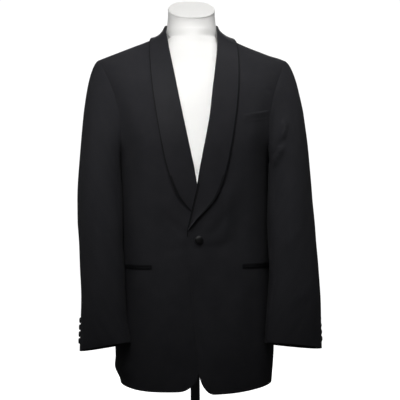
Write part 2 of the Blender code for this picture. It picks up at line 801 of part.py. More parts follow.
def button(name, place, normal, wide, deep, material):
    """Domed disc whose flat back faces the cloth."""
    side = normal.orthogonal().normalized()
    other = normal.cross(side)
    points = []
    for share, rise in BUTTON_PROFILE:
        for k in range(BUTTON_SIDES):
            turn = 2 * pi * k / BUTTON_SIDES
            out = side * cos(turn) + other * sin(turn)
            points.append(place + out * (wide / 2 * share) + normal * (deep * rise))
    rings = len(BUTTON_PROFILE)
    points.append(place.copy())
    points.append(place + normal * deep)
    faces = []
    for i in range(rings - 1):
        for k in range(BUTTON_SIDES):
            a = i * BUTTON_SIDES + k
            b = i * BUTTON_SIDES + (k + 1) % BUTTON_SIDES
            faces.append((a, b, b + BUTTON_SIDES, a + BUTTON_SIDES))
    for k in range(BUTTON_SIDES):
        n = (k + 1) % BUTTON_SIDES
        top = (rings - 1) * BUTTON_SIDES
        faces.append((rings * BUTTON_SIDES, n, k))
        faces.append((rings * BUTTON_SIDES + 1, top + k, top + n))
    add_object(name, points, faces, material)


def build_buttons(satin, horn):
    x, z = FRONT_BUTTON
    lift = lift_of_height(x, z)
    normal = outward(x, lift)
    seat = LAP_DEEP + CLOTH / 2 + BUTTON_CLEAR
    button("button_front", skin(x, lift) + normal * seat, normal, FRONT_BUTTON_WIDE, FRONT_BUTTON_DEEP, satin)
    for label, side in SIDES:
        sleeve = Sleeve(label, side)
        tube = (sleeve.table[-1][0] - sleeve.table[0][0]) * (HEAD_ROWS + TUBE_ROWS) / TUBE_ROWS
        for k in range(CUFF_BUTTONS):
            down = 1 - (CUFF_BUTTON_FIRST + CUFF_BUTTON_PITCH * k) / tube
            column = HIND_SEAM + 1.0
            normal = sleeve.normal(down, column)
            place = sleeve.point(down, column) + normal * (CLOTH / 2 + BUTTON_CLEAR)
            button(f"cuff_button_{label}_{k + 1}", place, normal, CUFF_BUTTON_WIDE, CUFF_BUTTON_DEEP, horn)


# ---------------------------------------------------------------- dress form and stand
FORM_COLUMNS = 32
FORM_POWER = 2.25
# Sections of the form: height, half width, middle y, front depth, back depth
FORM = (
    (0.320, 0.1480, 0.000, 0.122, 0.106),
    (0.332, 0.1560, 0.000, 0.130, 0.114),
    (0.400, 0.1600, 0.000, 0.132, 0.116),
    (0.500, 0.1500, 0.000, 0.128, 0.104),
    (0.600, 0.1500, 0.000, 0.136, 0.110),
    (0.700, 0.1580, 0.001, 0.146, 0.124),
    (0.780, 0.1620, 0.004, 0.146, 0.126),
    (0.840, 0.1720, 0.008, 0.134, 0.116),
    (0.880, 0.1800, 0.011, 0.117, 0.098),
    (0.897, 0.1835, 0.012, 0.104, 0.085),
    (0.906, 0.1835, 0.012, 0.094, 0.076),
    (0.916, 0.0000, 0.012, 0.086, 0.066),
    (0.926, 0.0000, 0.012, 0.078, 0.056),
    (0.936, 0.0000, 0.011, 0.071, 0.045),
    (0.944, 0.0000, 0.009, 0.066, 0.040),
    (0.953, 0.0580, 0.007, 0.061, 0.042),
    (0.968, 0.0555, 0.005, 0.058, 0.046),
    (0.982, 0.0545, 0.004, 0.056, 0.051),
    (1.000, 0.0537, 0.003, 0.055, 0.055),
    (1.018, 0.0534, 0.0025, 0.055, 0.055),
)
REST_CLEAR = 0.0005       # the shoulders of the jacket rest this far above the form
NECK_CLEAR = 0.0040       # the form stays this far below the jacket at the neck
FORM_EASE = 0.92          # share of the jacket's depth that the form fills at the shoulders
FACET_CLEAR = 0.005       # and this much less, for the flat facets of the cloth
RIDGE_HALF = 0.001        # half width of the form's shoulder line
NECK_OPEN = (0.044, 0.055)  # the front of the jacket's neck is open inside these half widths
NECK_TILT = 0.457         # rise of the neck's top for each unit backwards
NECK_TILT_FROM = 0.968    # the tilt grows from this height up
CAP_PROFILE = ((SEAM_GAP, 0.0), (0.0013, 0.0012), (0.0040, 0.0012), (0.0050, -0.001))  # height, overhang
POLE_WIDE = 0.0215
FLANGE_WIDE = 0.070
FLANGE_THICK = 0.012
BASE_WIDE = 0.320
BASE_THICK = 0.014
BASE_EDGE = 0.004
SOCKET_WIDE = 0.046
SOCKET_TALL = 0.045
SOCKET_FOOT = 0.012       # the socket's foot stands out this far
SOCKET_FOOT_THICK = 0.004
SOCKET_FOOT_RISE = 0.010  # and runs up into the socket to this height
SOCKET_EDGE = 0.004
ROUND_SIDES = 32


def resting_half(z):
    """Half width at which the form's shoulder meets the inside of the jacket's shoulder."""
    goal = z + (CLOTH / 2 + REST_CLEAR) / cos(atan2(RIDGE[2][1] - RIDGE[5][1], RIDGE[5][0] - RIDGE[2][0]))
    low, high = RIDGE[1][0], RIDGE[-1][0]
    for _ in range(40):
        middle = (low + high) / 2
        if ridge(middle) > goal:
            low = middle
        else:
            high = middle
    return low


def inside_jacket(x, y, z):
    """Keeps a point of the form under the shoulders of the jacket and clear of its neck."""
    if z < UNDERARM_Z:
        return y
    raised = z + (NECK_CLEAR if abs(x) < COLLAR[1][3] else CLOTH / 2 + 2 * REST_CLEAR)
    if z > ridge(x):
        return y
    back = y > RIDGE_Y
    room = abs(skin(x, lift_of_height(x, min(raised, ridge(x)), back)).y - RIDGE_Y) * FORM_EASE
    room = max(room - FACET_CLEAR, RIDGE_HALF)
    if not back:
        room += 1 - fade(abs(x), *NECK_OPEN)
    return min(max(y, RIDGE_Y - room), RIDGE_Y + room)


def form_ring(section):
    z, half, middle, front, back = section
    half = half or resting_half(z)
    points = []
    for k in range(FORM_COLUMNS):
        turn = 2 * pi * k / FORM_COLUMNS
        c = abs(cos(turn)) ** (2 / FORM_POWER)
        s = abs(sin(turn)) ** (2 / FORM_POWER)
        x = half * (c if cos(turn) >= 0 else -c)
        y = middle + (back * s if sin(turn) >= 0 else -front * s)
        y = inside_jacket(x, y, z)
        share = max(z - NECK_TILT_FROM, 0) / (FORM[-1][0] - NECK_TILT_FROM)
        points.append(Vector((x, y, z + NECK_TILT * share * (y - middle))))
    return points


def stack(name, rings, material):
    """Solid through rings of equal count, counted against the clock, from the bottom up."""
    count = len(rings[0])
    points = [p for ring in rings for p in ring]
    faces = []
    for i in range(len(rings) - 1):
        for k in range(count):
            a = i * count + k
            b = i * count + (k + 1) % count
            faces.append((a, b, b + count, a + count))
    faces.append(tuple(reversed(range(count))))
    top = (len(rings) - 1) * count
    faces.append(tuple(range(top, top + count)))
    return add_object(name, points, faces, material)


def turned(name, profile, material):
    """Solid of revolution on the stand's axis from (radius, height) pairs, from the bottom up."""
    rings = []
    for radius, z in profile:
        ring = []
        for k in range(ROUND_SIDES):
            turn = 2 * pi * k / ROUND_SIDES
            ring.append(Vector((radius * cos(turn), radius * sin(turn), z)))
        rings.append(ring)
    stack(name, rings, material)


def build_form(shell, metal):
    rings = [form_ring(section) for section in FORM]
    stack("form_body", rings, shell)
    top = rings[-1]
    middle = sum(top, Vector()) / len(top)
    up = Vector((0, -NECK_TILT, 1)).normalized()
    cap = []
    for rise, over in CAP_PROFILE:
        cap.append([p + (p - middle).normalized() * over + up * rise for p in top])
    stack("form_cap", cap, shell)
    bottom = FORM[0][0]
    pole_top = bottom - FLANGE_THICK - 2 * SEAM_GAP
    turned("form_flange", (
        (FLANGE_WIDE / 2, bottom - SEAM_GAP - FLANGE_THICK),
        (FLANGE_WIDE / 2, bottom - SEAM_GAP),
    ), metal)
    turned("stand_pole", (
        (POLE_WIDE / 2, BASE_THICK + SOCKET_TALL + 2 * SEAM_GAP),
        (POLE_WIDE / 2, pole_top),
    ), metal)
    foot = BASE_THICK + SEAM_GAP
    turned("stand_socket", (
        (SOCKET_WIDE / 2 + SOCKET_FOOT, foot),
        (SOCKET_WIDE / 2 + SOCKET_FOOT, foot + SOCKET_FOOT_THICK),
        (SOCKET_WIDE / 2, foot + SOCKET_FOOT_RISE),
        (SOCKET_WIDE / 2, foot + SOCKET_TALL - SOCKET_EDGE),
        (SOCKET_WIDE / 2 - SOCKET_EDGE, foot + SOCKET_TALL),
    ), metal)
    turned("stand_base", (
        (BASE_WIDE / 2, 0.0),
        (BASE_WIDE / 2, BASE_THICK - BASE_EDGE),
        (BASE_WIDE / 2 - BASE_EDGE, BASE_THICK),
    ), metal)


# ---------------------------------------------------------------- build
def clear_scene():
    for item in list(bpy.data.objects):
        bpy.data.objects.remove(item, do_unlink=True)


def main():
    clear_scene()
    wool = finish("black_wool", (0.018, 0.018, 0.021), 0.85)
    satin = finish("black_satin", (0.014, 0.014, 0.016), 0.35)
    horn = finish("black_resin", (0.012, 0.012, 0.012), 0.3)
    shell = finish("white_shell", (0.85, 0.85, 0.84), 0.45)
    metal = finish("black_metal", (0.02, 0.02, 0.02), 0.4, 0.6)
    build_panels(wool)
    build_sleeves(wool)
    build_collar(satin)
    build_pockets(wool, satin)
    build_buttons(satin, horn)
    build_form(shell, metal)


main()
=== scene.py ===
"""Looks of a shawl-collar tuxedo jacket on its dress form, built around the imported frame.

Metres, +Z up. The front of the jacket faces -Y and its wearer's left is at +X.
"""
from math import atan2, cos, pi, radians, sin

import bmesh
import bpy
import numpy as np
from mathutils import Matrix, Vector


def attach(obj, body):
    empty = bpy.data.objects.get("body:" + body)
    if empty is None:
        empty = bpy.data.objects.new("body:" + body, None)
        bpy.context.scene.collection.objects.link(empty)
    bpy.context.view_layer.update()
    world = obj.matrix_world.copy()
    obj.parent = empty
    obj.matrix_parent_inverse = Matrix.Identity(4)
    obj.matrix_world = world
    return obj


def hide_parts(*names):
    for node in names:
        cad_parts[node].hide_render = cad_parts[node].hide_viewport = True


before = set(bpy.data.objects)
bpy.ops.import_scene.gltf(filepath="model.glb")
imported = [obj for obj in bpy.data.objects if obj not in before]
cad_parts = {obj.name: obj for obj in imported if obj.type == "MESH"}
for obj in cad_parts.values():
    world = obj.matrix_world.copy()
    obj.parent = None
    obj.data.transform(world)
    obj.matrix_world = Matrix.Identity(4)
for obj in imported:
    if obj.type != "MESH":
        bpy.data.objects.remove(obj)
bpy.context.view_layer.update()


# ================================================================ studio
# A plain pale floor that runs off into a white room. Soft boxes stand above, before, beside and behind the jacket,
# two of them gridded so that they reach the chest only, and a small one lights the form alone. The camera stands at
# the height of the waist, a little to the wearer's right.
FLOOR_HALF, FLOOR_LOW = 6.0, 0.0005   # half width, and how far it lies below the stand
FLOOR_NEAR, FLOOR_FAR = (0.25, 0.72), (0.75, 1.02)   # distance from the stand, and how bright the floor is there
ROOM_FILL = 0.055         # what the room adds to the light
ROOM_WHITE = 1.05         # how bright its walls look
SOFT_BOXES = (            # name, place, width and height, watts, spread in degrees, height aimed at
    ("key_soft_box", (-0.25, -1.15, 1.95), 0.8, 3.4, 180.0, 0.65),
    ("gridded_key_soft_box", (-0.20, -1.10, 1.90), 0.6, 0.80, 50.0, 0.85),
    ("gridded_front_soft_box", (-0.30, -1.30, 1.20), 0.5, 0.43, 50.0, 0.78),
    ("right_arm_soft_box", (-1.30, -0.40, 1.30), 0.8, 2.0, 180.0, 0.65),
    ("left_arm_soft_box", (0.50, -0.25, 1.90), 0.8, 4.7, 180.0, 0.65),
    ("back_soft_box", (0.25, 1.90, 1.20), 1.2, 12.0, 180.0, 0.65),
    ("form_soft_box", (-0.05, -1.30, 0.60), 0.2, 0.12, 26.0, 0.66),
)
CAMERA_TURN = radians(-3.5)
CAMERA_ROLL = radians(-0.57)
CAMERA_HEIGHT, CAMERA_AWAY, CAMERA_ASIDE = 0.58, 3.0, 0.0154
VIEW_WIDTH = 0.92         # what the picture spans at the middle of the jacket
SENSOR_MM = 36.0


def linear(colour):
    """sRGB hex to linear red, green, blue and a full alpha."""
    parts = [int(colour[i:i + 2], 16) / 255 for i in (1, 3, 5)]
    return tuple(c / 12.92 if c <= 0.04045 else ((c + 0.055) / 1.055) ** 2.4 for c in parts) + (1.0,)


def new_material(name, values):
    """New material, its node tree and its shader, with these values on the shader's own sockets."""
    stuff = bpy.data.materials.new(name)
    stuff.use_nodes = True
    shader = stuff.node_tree.nodes["Principled BSDF"]
    for socket, value in values.items():
        shader.inputs[socket].default_value = value
    return stuff, stuff.node_tree, shader


def add_node(tree, kind, settings=None, links=None):
    """Adds a node with its settings, as properties or by socket name, and its incoming links."""
    new = tree.nodes.new(kind)
    for key, value in (settings or {}).items():
        if isinstance(key, int) or key in new.inputs:
            new.inputs[key].default_value = value
        else:
            setattr(new, key, value)
    for key, source in (links or {}).items():
        tree.links.new(source, new.inputs[key])
    return new


for name, place, size, watts, spread, aimed in SOFT_BOXES:
    light = bpy.data.lights.new(name, "AREA")
    light.shape = "SQUARE"
    light.size = size
    light.energy = watts
    light.spread = radians(spread)
    lamp = bpy.data.objects.new(name, light)
    aim = (Vector((0.0, 0.0, aimed)) - Vector(place)).to_track_quat("-Z", "Y").to_matrix().to_4x4()
    lamp.matrix_world = Matrix.Translation(place) @ aim
    bpy.context.scene.collection.objects.link(lamp)

room = bpy.data.worlds.new("white_room")
room.use_nodes = True
room_tree = room.node_tree
room_tree.nodes.clear()
fill = add_node(room_tree, "ShaderNodeBackground", {"Color": linear("#ffffff"), "Strength": ROOM_FILL})
wall_paint = add_node(room_tree, "ShaderNodeBackground", {"Color": linear("#ffffff"), "Strength": ROOM_WHITE})
sight = add_node(room_tree, "ShaderNodeLightPath")
room_mix = add_node(room_tree, "ShaderNodeMixShader", {}, {
    0: sight.outputs["Is Camera Ray"], 1: fill.outputs[0], 2: wall_paint.outputs[0]})
add_node(room_tree, "ShaderNodeOutputWorld", {}, {"Surface": room_mix.outputs[0]})
bpy.context.scene.world = room

# Painted studio floor: matt white, lit enough to run into the room
bpy.ops.mesh.primitive_plane_add(size=2 * FLOOR_HALF, location=(0, 0, -FLOOR_LOW))
floor = bpy.context.object
floor.name = "floor"
floor_paint, tree, shader = new_material("matt_white_floor_paint", {
    "Base Color": linear("#e0e0e0"), "Roughness": 0.9, "Specular IOR Level": 0.1, "Emission Color": linear("#ffffff")})
spot = add_node(tree, "ShaderNodeVectorMath", {"operation": "LENGTH"}, {
    0: add_node(tree, "ShaderNodeTexCoord").outputs["Object"]})
away = add_node(tree, "ShaderNodeMapRange", {
    "From Min": FLOOR_NEAR[0], "From Max": FLOOR_FAR[0], "To Min": FLOOR_NEAR[1], "To Max": FLOOR_FAR[1]}, {
    "Value": spot.outputs["Value"]})
tree.links.new(away.outputs[0], shader.inputs["Emission Strength"])
floor.data.materials.append(floor_paint)
floor.visible_diffuse = False
floor.visible_glossy = False

camera = bpy.data.objects.new("camera", bpy.data.cameras.new("camera"))
camera.data.sensor_width = SENSOR_MM
camera.data.lens = SENSOR_MM * CAMERA_AWAY / VIEW_WIDTH
eye = Vector((sin(CAMERA_TURN), -cos(CAMERA_TURN), 0)) * CAMERA_AWAY
eye += Vector((cos(CAMERA_TURN), sin(CAMERA_TURN), 0)) * CAMERA_ASIDE
eye.z = CAMERA_HEIGHT
camera.matrix_world = (Matrix.Translation(eye) @ Matrix.Rotation(CAMERA_TURN, 4, "Z")
                       @ Matrix.Rotation(pi / 2, 4, "X") @ Matrix.Rotation(CAMERA_ROLL, 4, "Z"))
bpy.context.scene.collection.objects.link(camera)
bpy.context.scene.camera = camera
bpy.context.scene.view_settings.view_transform = "Standard"


# ================================================================ the shape the cloth is pressed to
# The jacket is cut and pressed to one body surface: level sections below the armholes, and an arch over
# the shoulders. Every panel, the collar and the pockets lie on it.
CLOTH = 0.0016            # thickness of the cloth with what backs it
SEAM_GAP = 0.0003
ROUNDNESS = 2.4           # of the level sections: 2 would be an ellipse, more is squarer
ARCH = 2.3                # and of the arch over the shoulders
UNDERARM_Z = 0.675
YOKE = 0.24               # nominal height of the arch
RIDGE_Y = 0.012           # the top of the shoulder lies this far behind the middle
DROP_PER_DEGREE = 0.0055  # below the underarm, a lift angle below 0 stands for this drop
NORMAL_STEP, NORMAL_TURN, LEAST_TURN, FLARE_STEP = 0.001, 0.4, 0.01, 0.002   # steps that normals are measured over
SIDES = (("left", 1.0), ("right", -1.0))
BODY = np.array((         # nominal height, half width, front depth, back depth
    (0.130, 0.1715, 0.150, 0.130),
    (0.185, 0.1765, 0.152, 0.134),
    (0.240, 0.1800, 0.153, 0.137),
    (0.330, 0.1795, 0.151, 0.136),
    (0.430, 0.1755, 0.148, 0.130),
    (0.520, 0.1715, 0.149, 0.125),
    (0.600, 0.1705, 0.156, 0.132),
    (0.675, 0.1760, 0.161, 0.141),
    (0.710, 0.1870, 0.162, 0.144),
    (0.760, 0.2000, 0.161, 0.146),
    (0.830, 0.2140, 0.157, 0.146),
    (0.915, 0.2350, 0.152, 0.144),
))
RIDGE = np.array((        # distance from the middle, height of the shoulder
    (0.000, 0.9560),
    (0.050, 0.9565),
    (0.080, 0.9510),
    (0.120, 0.9350),
    (0.170, 0.9160),
    (0.2125, 0.9000),
    (0.250, 0.8840),
))
SHOULDER_TILT, TILT_BETWEEN = 0.0023, (0.06, 0.14)   # the wearer's right shoulder is higher, the left one lower
LEFT_SHOULDER_LIFT, LIFT_BETWEEN = 0.0022, (0.175, 0.205)   # and the left one ends squarer
ARMHOLE = np.array((      # nominal height, half width at the front, half width at the back
    (0.675, 0.1670, 0.1670),
    (0.700, 0.1650, 0.1690),
    (0.750, 0.1660, 0.1750),
    (0.800, 0.1740, 0.1840),
    (0.840, 0.1860, 0.1930),
    (0.880, 0.2010, 0.2040),
    (0.915, 0.2125, 0.2125),
))


def read(table, key, column):
    """Smooth curve through one column of a table, whose first column is the key."""
    keys, values = table[:, 0], table[:, column]
    last = len(keys) - 1
    key = np.clip(np.asarray(key, float), keys[0], keys[last])
    low = np.maximum(np.arange(last + 1) - 1, 0)
    high = np.minimum(np.arange(last + 1) + 1, last)
    slope = (values[high] - values[low]) / (keys[high] - keys[low])
    i = np.clip(np.searchsorted(keys, key, side="left") - 1, 0, last - 1)
    span = keys[i + 1] - keys[i]
    t = (key - keys[i]) / span
    return (values[i] * (2 * t**3 - 3 * t**2 + 1) + values[i + 1] * (3 * t**2 - 2 * t**3)
            + slope[i] * span * (t**3 - 2 * t**2 + t) + slope[i + 1] * span * (t**3 - t**2))


def fade(value, low, high):
    """0 below low, 1 above high, smooth between."""
    t = np.clip((value - low) / (high - low), 0.0, 1.0)
    return t * t * (3 - 2 * t)


def ridge(x):
    """Height of the shoulder line, whose wearer's right side sits a little higher."""
    tilt = SHOULDER_TILT * np.sign(x) * fade(np.abs(x), *TILT_BETWEEN)
    return read(RIDGE, np.abs(x), 1) - tilt + LEFT_SHOULDER_LIFT * fade(x, *LIFT_BETWEEN)


def nominal(lift):
    """Nominal height for a lift angle: 0 at the underarm, 90 on the ridge, 180 at the back underarm."""
    arch = UNDERARM_Z + YOKE * np.abs(np.sin(np.radians(lift))) ** (2 / ARCH)
    return np.where(lift < 0, UNDERARM_Z + DROP_PER_DEGREE * lift,
                    np.where(lift > 180, UNDERARM_Z - DROP_PER_DEGREE * (lift - 180), arch))


def lift_of_nominal(height, back=False):
    share = np.clip((height - UNDERARM_Z) / YOKE, 0.0, 1.0)
    arch = np.degrees(np.arcsin(share ** (ARCH / 2)))
    lift = np.where(height < UNDERARM_Z, (height - UNDERARM_Z) / DROP_PER_DEGREE, arch)
    return np.where(back, 180 - lift, lift)


def lift_of_height(x, z, back=False):
    share = np.minimum((z - UNDERARM_Z) / (ridge(x) - UNDERARM_Z), 1.0)
    return lift_of_nominal(np.where(z < UNDERARM_Z, z, UNDERARM_Z + YOKE * share), back)


def skin(x, lift):
    """Points of the middle of the cloth at distance x from the middle."""
    x, lift = np.broadcast_arrays(np.asarray(x, float), np.asarray(lift, float))
    height = nominal(lift)
    back = lift > 90
    half = read(BODY, height, 1)
    deep = np.where(back, read(BODY, height, 3), read(BODY, height, 2))
    flat = (1 - np.minimum(np.abs(x) / half, 1.0) ** ROUNDNESS) ** (1 / ROUNDNESS)
    y = np.where(back, deep * flat, -deep * flat)
    over = (lift > 0) & (lift < 180)
    arched = RIDGE_Y + (y - RIDGE_Y) * np.abs(np.cos(np.radians(lift))) ** (2 / ARCH)
    z = UNDERARM_Z + (ridge(x) - UNDERARM_Z) * (height - UNDERARM_Z) / YOKE
    return np.stack((x, np.where(over, arched, y), np.where(over, z, height)), axis=-1)


def unit(v):
    return v / np.maximum(np.linalg.norm(v, axis=-1, keepdims=True), 1e-12)


def outward(x, lift):
    """Unit normal of the body surface, pointing out of the jacket."""
    x, lift = np.broadcast_arrays(np.asarray(x, float), np.asarray(lift, float))
    step, turn = NORMAL_STEP, np.maximum(np.minimum(NORMAL_TURN, np.minimum(lift, 180 - lift)), LEAST_TURN)
    arch = unit(np.cross(skin(x + step, lift) - skin(x - step, lift), skin(x, lift + turn) - skin(x, lift - turn)))
    height, step = nominal(lift), FLARE_STEP
    back = lift > 90
    half = read(BODY, height, 1)
    deep = np.where(back, read(BODY, height, 3), read(BODY, height, 2))
    half_flare = (read(BODY, height + step, 1) - read(BODY, height - step, 1)) / (2 * step)
    deep_flare = np.where(back, read(BODY, height + step, 3) - read(BODY, height - step, 3),
                          read(BODY, height + step, 2) - read(BODY, height - step, 2)) / (2 * step)
    a = np.minimum(np.abs(x) / half, 1.0)
    b = (1 - a**ROUNDNESS) ** (1 / ROUNDNESS)
    nx = np.sign(x) * a ** (ROUNDNESS - 1) / half
    ny = np.where(back, 1.0, -1.0) * b ** (ROUNDNESS - 1) / deep
    nz = -(a**ROUNDNESS * half_flare / half + b**ROUNDNESS * deep_flare / deep)
    level = unit(np.stack((nx, ny, nz), axis=-1))
    return np.where(((lift > 0) & (lift < 180))[..., None], arch, level)


def across(turn, half):
    """Distance from the middle for a turn of 0 (middle) to 1 (side)."""
    return np.sign(turn) * half * np.sin(np.minimum(np.abs(turn), 1.0) * pi / 2) ** (2 / ROUNDNESS)


def turn_of(x, half):
    return np.sign(x) * np.arcsin(np.minimum(np.abs(x) / half, 1.0) ** (ROUNDNESS / 2)) * 2 / pi


# ================================================================ creases of the worn jacket
# Soft troughs and ridges of cloth that hangs from the shoulders and is held by one button. Each row is a bent
# line from one end by its middle to the other, in distance from the middle and height, then how deep it lies
# (below 0 a ridge) and its half width.
FRONT_FOLDS = (
    # chest beside the armholes
    (-0.158, 0.800, -0.152, 0.700, -0.155, 0.560, 0.0022, 0.012),
    (-0.120, 0.790, -0.118, 0.700, -0.122, 0.600, -0.0014, 0.016),
    (0.150, 0.815, 0.156, 0.720, 0.152, 0.560, 0.0026, 0.014),
    (0.122, 0.780, 0.124, 0.690, 0.118, 0.590, -0.0014, 0.015),
    (0.158, 0.826, 0.167, 0.824, 0.177, 0.819, 0.0024, 0.0035),
    # pulls from the button
    (-0.009, 0.528, -0.010, 0.494, -0.008, 0.462, 0.0034, 0.0055),
    (0.016, 0.500, 0.050, 0.525, 0.092, 0.590, 0.0017, 0.011),
    (0.014, 0.488, 0.050, 0.480, 0.090, 0.500, 0.0013, 0.010),
    (0.020, 0.508, 0.045, 0.560, 0.070, 0.620, -0.0014, 0.011),
    (-0.016, 0.500, -0.046, 0.520, -0.080, 0.560, 0.0018, 0.010),
    (-0.014, 0.486, -0.048, 0.470, -0.085, 0.470, 0.0014, 0.010),
    (0.071, 0.615, 0.068, 0.560, 0.060, 0.480, -0.0020, 0.010),
    (0.100, 0.600, 0.094, 0.530, 0.086, 0.440, 0.0028, 0.016),
    (0.000, 0.480, 0.003, 0.450, 0.003, 0.400, -0.0018, 0.012),
    (0.042, 0.490, 0.046, 0.450, 0.044, 0.380, 0.0024, 0.015),
    # waist to hip
    (-0.070, 0.420, -0.074, 0.320, -0.080, 0.200, -0.0022, 0.022),
    (-0.012, 0.440, -0.006, 0.300, -0.008, 0.120, 0.0050, 0.022),
    (-0.128, 0.400, -0.130, 0.320, -0.136, 0.220, 0.0022, 0.016),
    (0.052, 0.400, 0.050, 0.340, 0.052, 0.230, 0.0014, 0.014),
    (0.078, 0.400, 0.086, 0.300, 0.080, 0.190, -0.0022, 0.020),
    (0.128, 0.400, 0.122, 0.310, 0.130, 0.210, 0.0022, 0.015),
)
BACK_FOLDS = (
    (-0.160, 0.800, -0.152, 0.700, -0.156, 0.580, 0.0050, 0.014),
    (0.160, 0.810, 0.154, 0.690, 0.158, 0.560, 0.0055, 0.014),
    (-0.060, 0.905, 0.000, 0.893, 0.062, 0.906, 0.0016, 0.010),
    (-0.120, 0.620, -0.070, 0.560, -0.020, 0.540, 0.0022, 0.014),
    (0.125, 0.600, 0.075, 0.545, 0.020, 0.520, 0.0020, 0.014),
    (-0.110, 0.560, -0.065, 0.515, -0.024, 0.500, -0.0014, 0.014),
    (-0.090, 0.440, -0.096, 0.320, -0.090, 0.190, -0.0026, 0.022),
    (-0.044, 0.430, -0.048, 0.300, -0.040, 0.180, 0.0026, 0.018),
    (0.050, 0.440, 0.044, 0.320, 0.052, 0.190, 0.0022, 0.020),
    (0.100, 0.420, 0.104, 0.300, 0.096, 0.180, -0.0026, 0.020),
    (-0.138, 0.430, -0.140, 0.320, -0.138, 0.200, 0.0022, 0.015),
    (0.140, 0.430, 0.138, 0.320, 0.142, 0.200, 0.0024, 0.015),
)
FOLD_STEPS, FOLD_ENDS = 12, 0.3   # steps along a fold, and the share of it that fades out at each end
YOKE_TIGHT = (14.0, 40.0)         # the cloth lies tight up to this many degrees of lift from the ridge
SIDE_TIGHT = (0.050, 0.110)       # and has no folds where it is nearer than this to the plane of the sides
HANG_IN = 0.0008                  # all of the loose cloth lies in by this much
# Over the wearer's right hip the skirt stands out, most of all low down, and its hem lies in
HIP_OUT, HIP_FOOT, HIP_TOP, HIP_SIDE = 0.0030, (0.178, 0.200), (0.250, 0.330), (0.130, 0.165)
HIP_LOW, HIP_LOW_AT, HIP_LOW_HALF = 0.0034, 0.204, 0.014
HEM_IN, HEM_TOP = 0.0036, (0.168, 0.188)
WAVES = (                 # uneven hang: wave numbers along x, y and z, phase, height
    (61.0, 37.0, 9.0, 0.4, 0.00035),
    (-43.0, 52.0, 14.0, 2.1, 0.00030),
    (24.0, -31.0, 21.0, 4.0, 0.00040),
    (83.0, 66.0, -27.0, 1.3, 0.00016),
    (-112.0, 71.0, 45.0, 5.2, 0.00012),
)


def fold_depth(u, v, folds):
    """How far the cloth at (u, v) is pushed in by a table of troughs and ridges."""
    depth = np.zeros(np.broadcast(u, v).shape)
    t = np.linspace(0, 1, FOLD_STEPS + 1)
    for u0, v0, u1, v1, u2, v2, deep, wide in folds:
        line_u = u0 * (1 - t) ** 2 + (4 * u1 - u0 - u2) * t * (1 - t) + u2 * t * t
        line_v = v0 * (1 - t) ** 2 + (4 * v1 - v0 - v2) * t * (1 - t) + v2 * t * t
        near = np.full(depth.shape, 1e9)
        best = np.zeros(depth.shape)
        for i in range(FOLD_STEPS):
            run_u, run_v = line_u[i + 1] - line_u[i], line_v[i + 1] - line_v[i]
            along = ((u - line_u[i]) * run_u + (v - line_v[i]) * run_v) / (run_u**2 + run_v**2)
            along = np.clip(along, 0.0, 1.0)
            apart = (u - line_u[i] - run_u * along) ** 2 + (v - line_v[i] - run_v * along) ** 2
            best = np.where(apart < near, (i + along) / FOLD_STEPS, best)
            near = np.minimum(near, apart)
        ends = fade(best, 0.0, FOLD_ENDS) * (1 - fade(best, 1 - FOLD_ENDS, 1.0))
        depth += deep * ends * np.exp(-near / wide**2)
    return depth


def uneven(points):
    total = np.zeros(points.shape[:-1])
    for kx, ky, kz, phase, height in WAVES:
        total += height * np.sin(points[..., 0] * kx + points[..., 1] * ky + points[..., 2] * kz + phase)
    return total


def hang(points, lift):
    """Distance that the hanging cloth stands off its pressed shape, outwards."""
    x, y, z = points[..., 0], points[..., 1], points[..., 2]
    folds = np.where(y < 0, fold_depth(x, z, FRONT_FOLDS), fold_depth(x, z, BACK_FOLDS))
    loose = fade(np.abs(lift - 90), *YOKE_TIGHT)
    hip = HIP_OUT * fade(z, *HIP_FOOT) * (1 - fade(z, *HIP_TOP)) - HEM_IN * (1 - fade(z, *HEM_TOP))
    hip = (hip + HIP_LOW * np.exp(-((z - HIP_LOW_AT) / HIP_LOW_HALF) ** 2)) * fade(-x, *HIP_SIDE)
    return loose * (uneven(points) - HANG_IN - folds * fade(np.abs(y), *SIDE_TIGHT) + hip)


def hanging(x, lift, rise):
    """Points that stand off the hanging cloth by a rise."""
    place = skin(x, lift)
    return place + outward(x, lift) * (hang(place, lift) + rise)[..., None]


# ================================================================ wool barathea
# Worsted wool in a broken twill, dyed black and clear finished: it scatters light softly, has almost no
# gloss, and a very short nap that catches light at the edges. Threads are 0.4 mm apart, too fine to show,
# so the twill is drawn 1.1 mm wide.
TWILL_MM, TWILL_SLANT = 1.1, 38


def noise(tree, at, scale, detail=2.0, **more):
    return add_node(tree, "ShaderNodeTexNoise", {"Scale": scale, "Detail": detail, **more}, {"Vector": at}).outputs[0]


def bands(tree, at, way, apart_mm, wavy):
    """Fine lines this many millimetres apart, as of a twill or a rib."""
    return add_node(tree, "ShaderNodeTexWave", {
        "wave_type": "BANDS", "bands_direction": way, "wave_profile": "SIN",
        "Scale": 1000 / apart_mm / (2 * pi) * 2, "Distortion": wavy, "Detail": 1.0}, {"Vector": at}).outputs["Fac"]


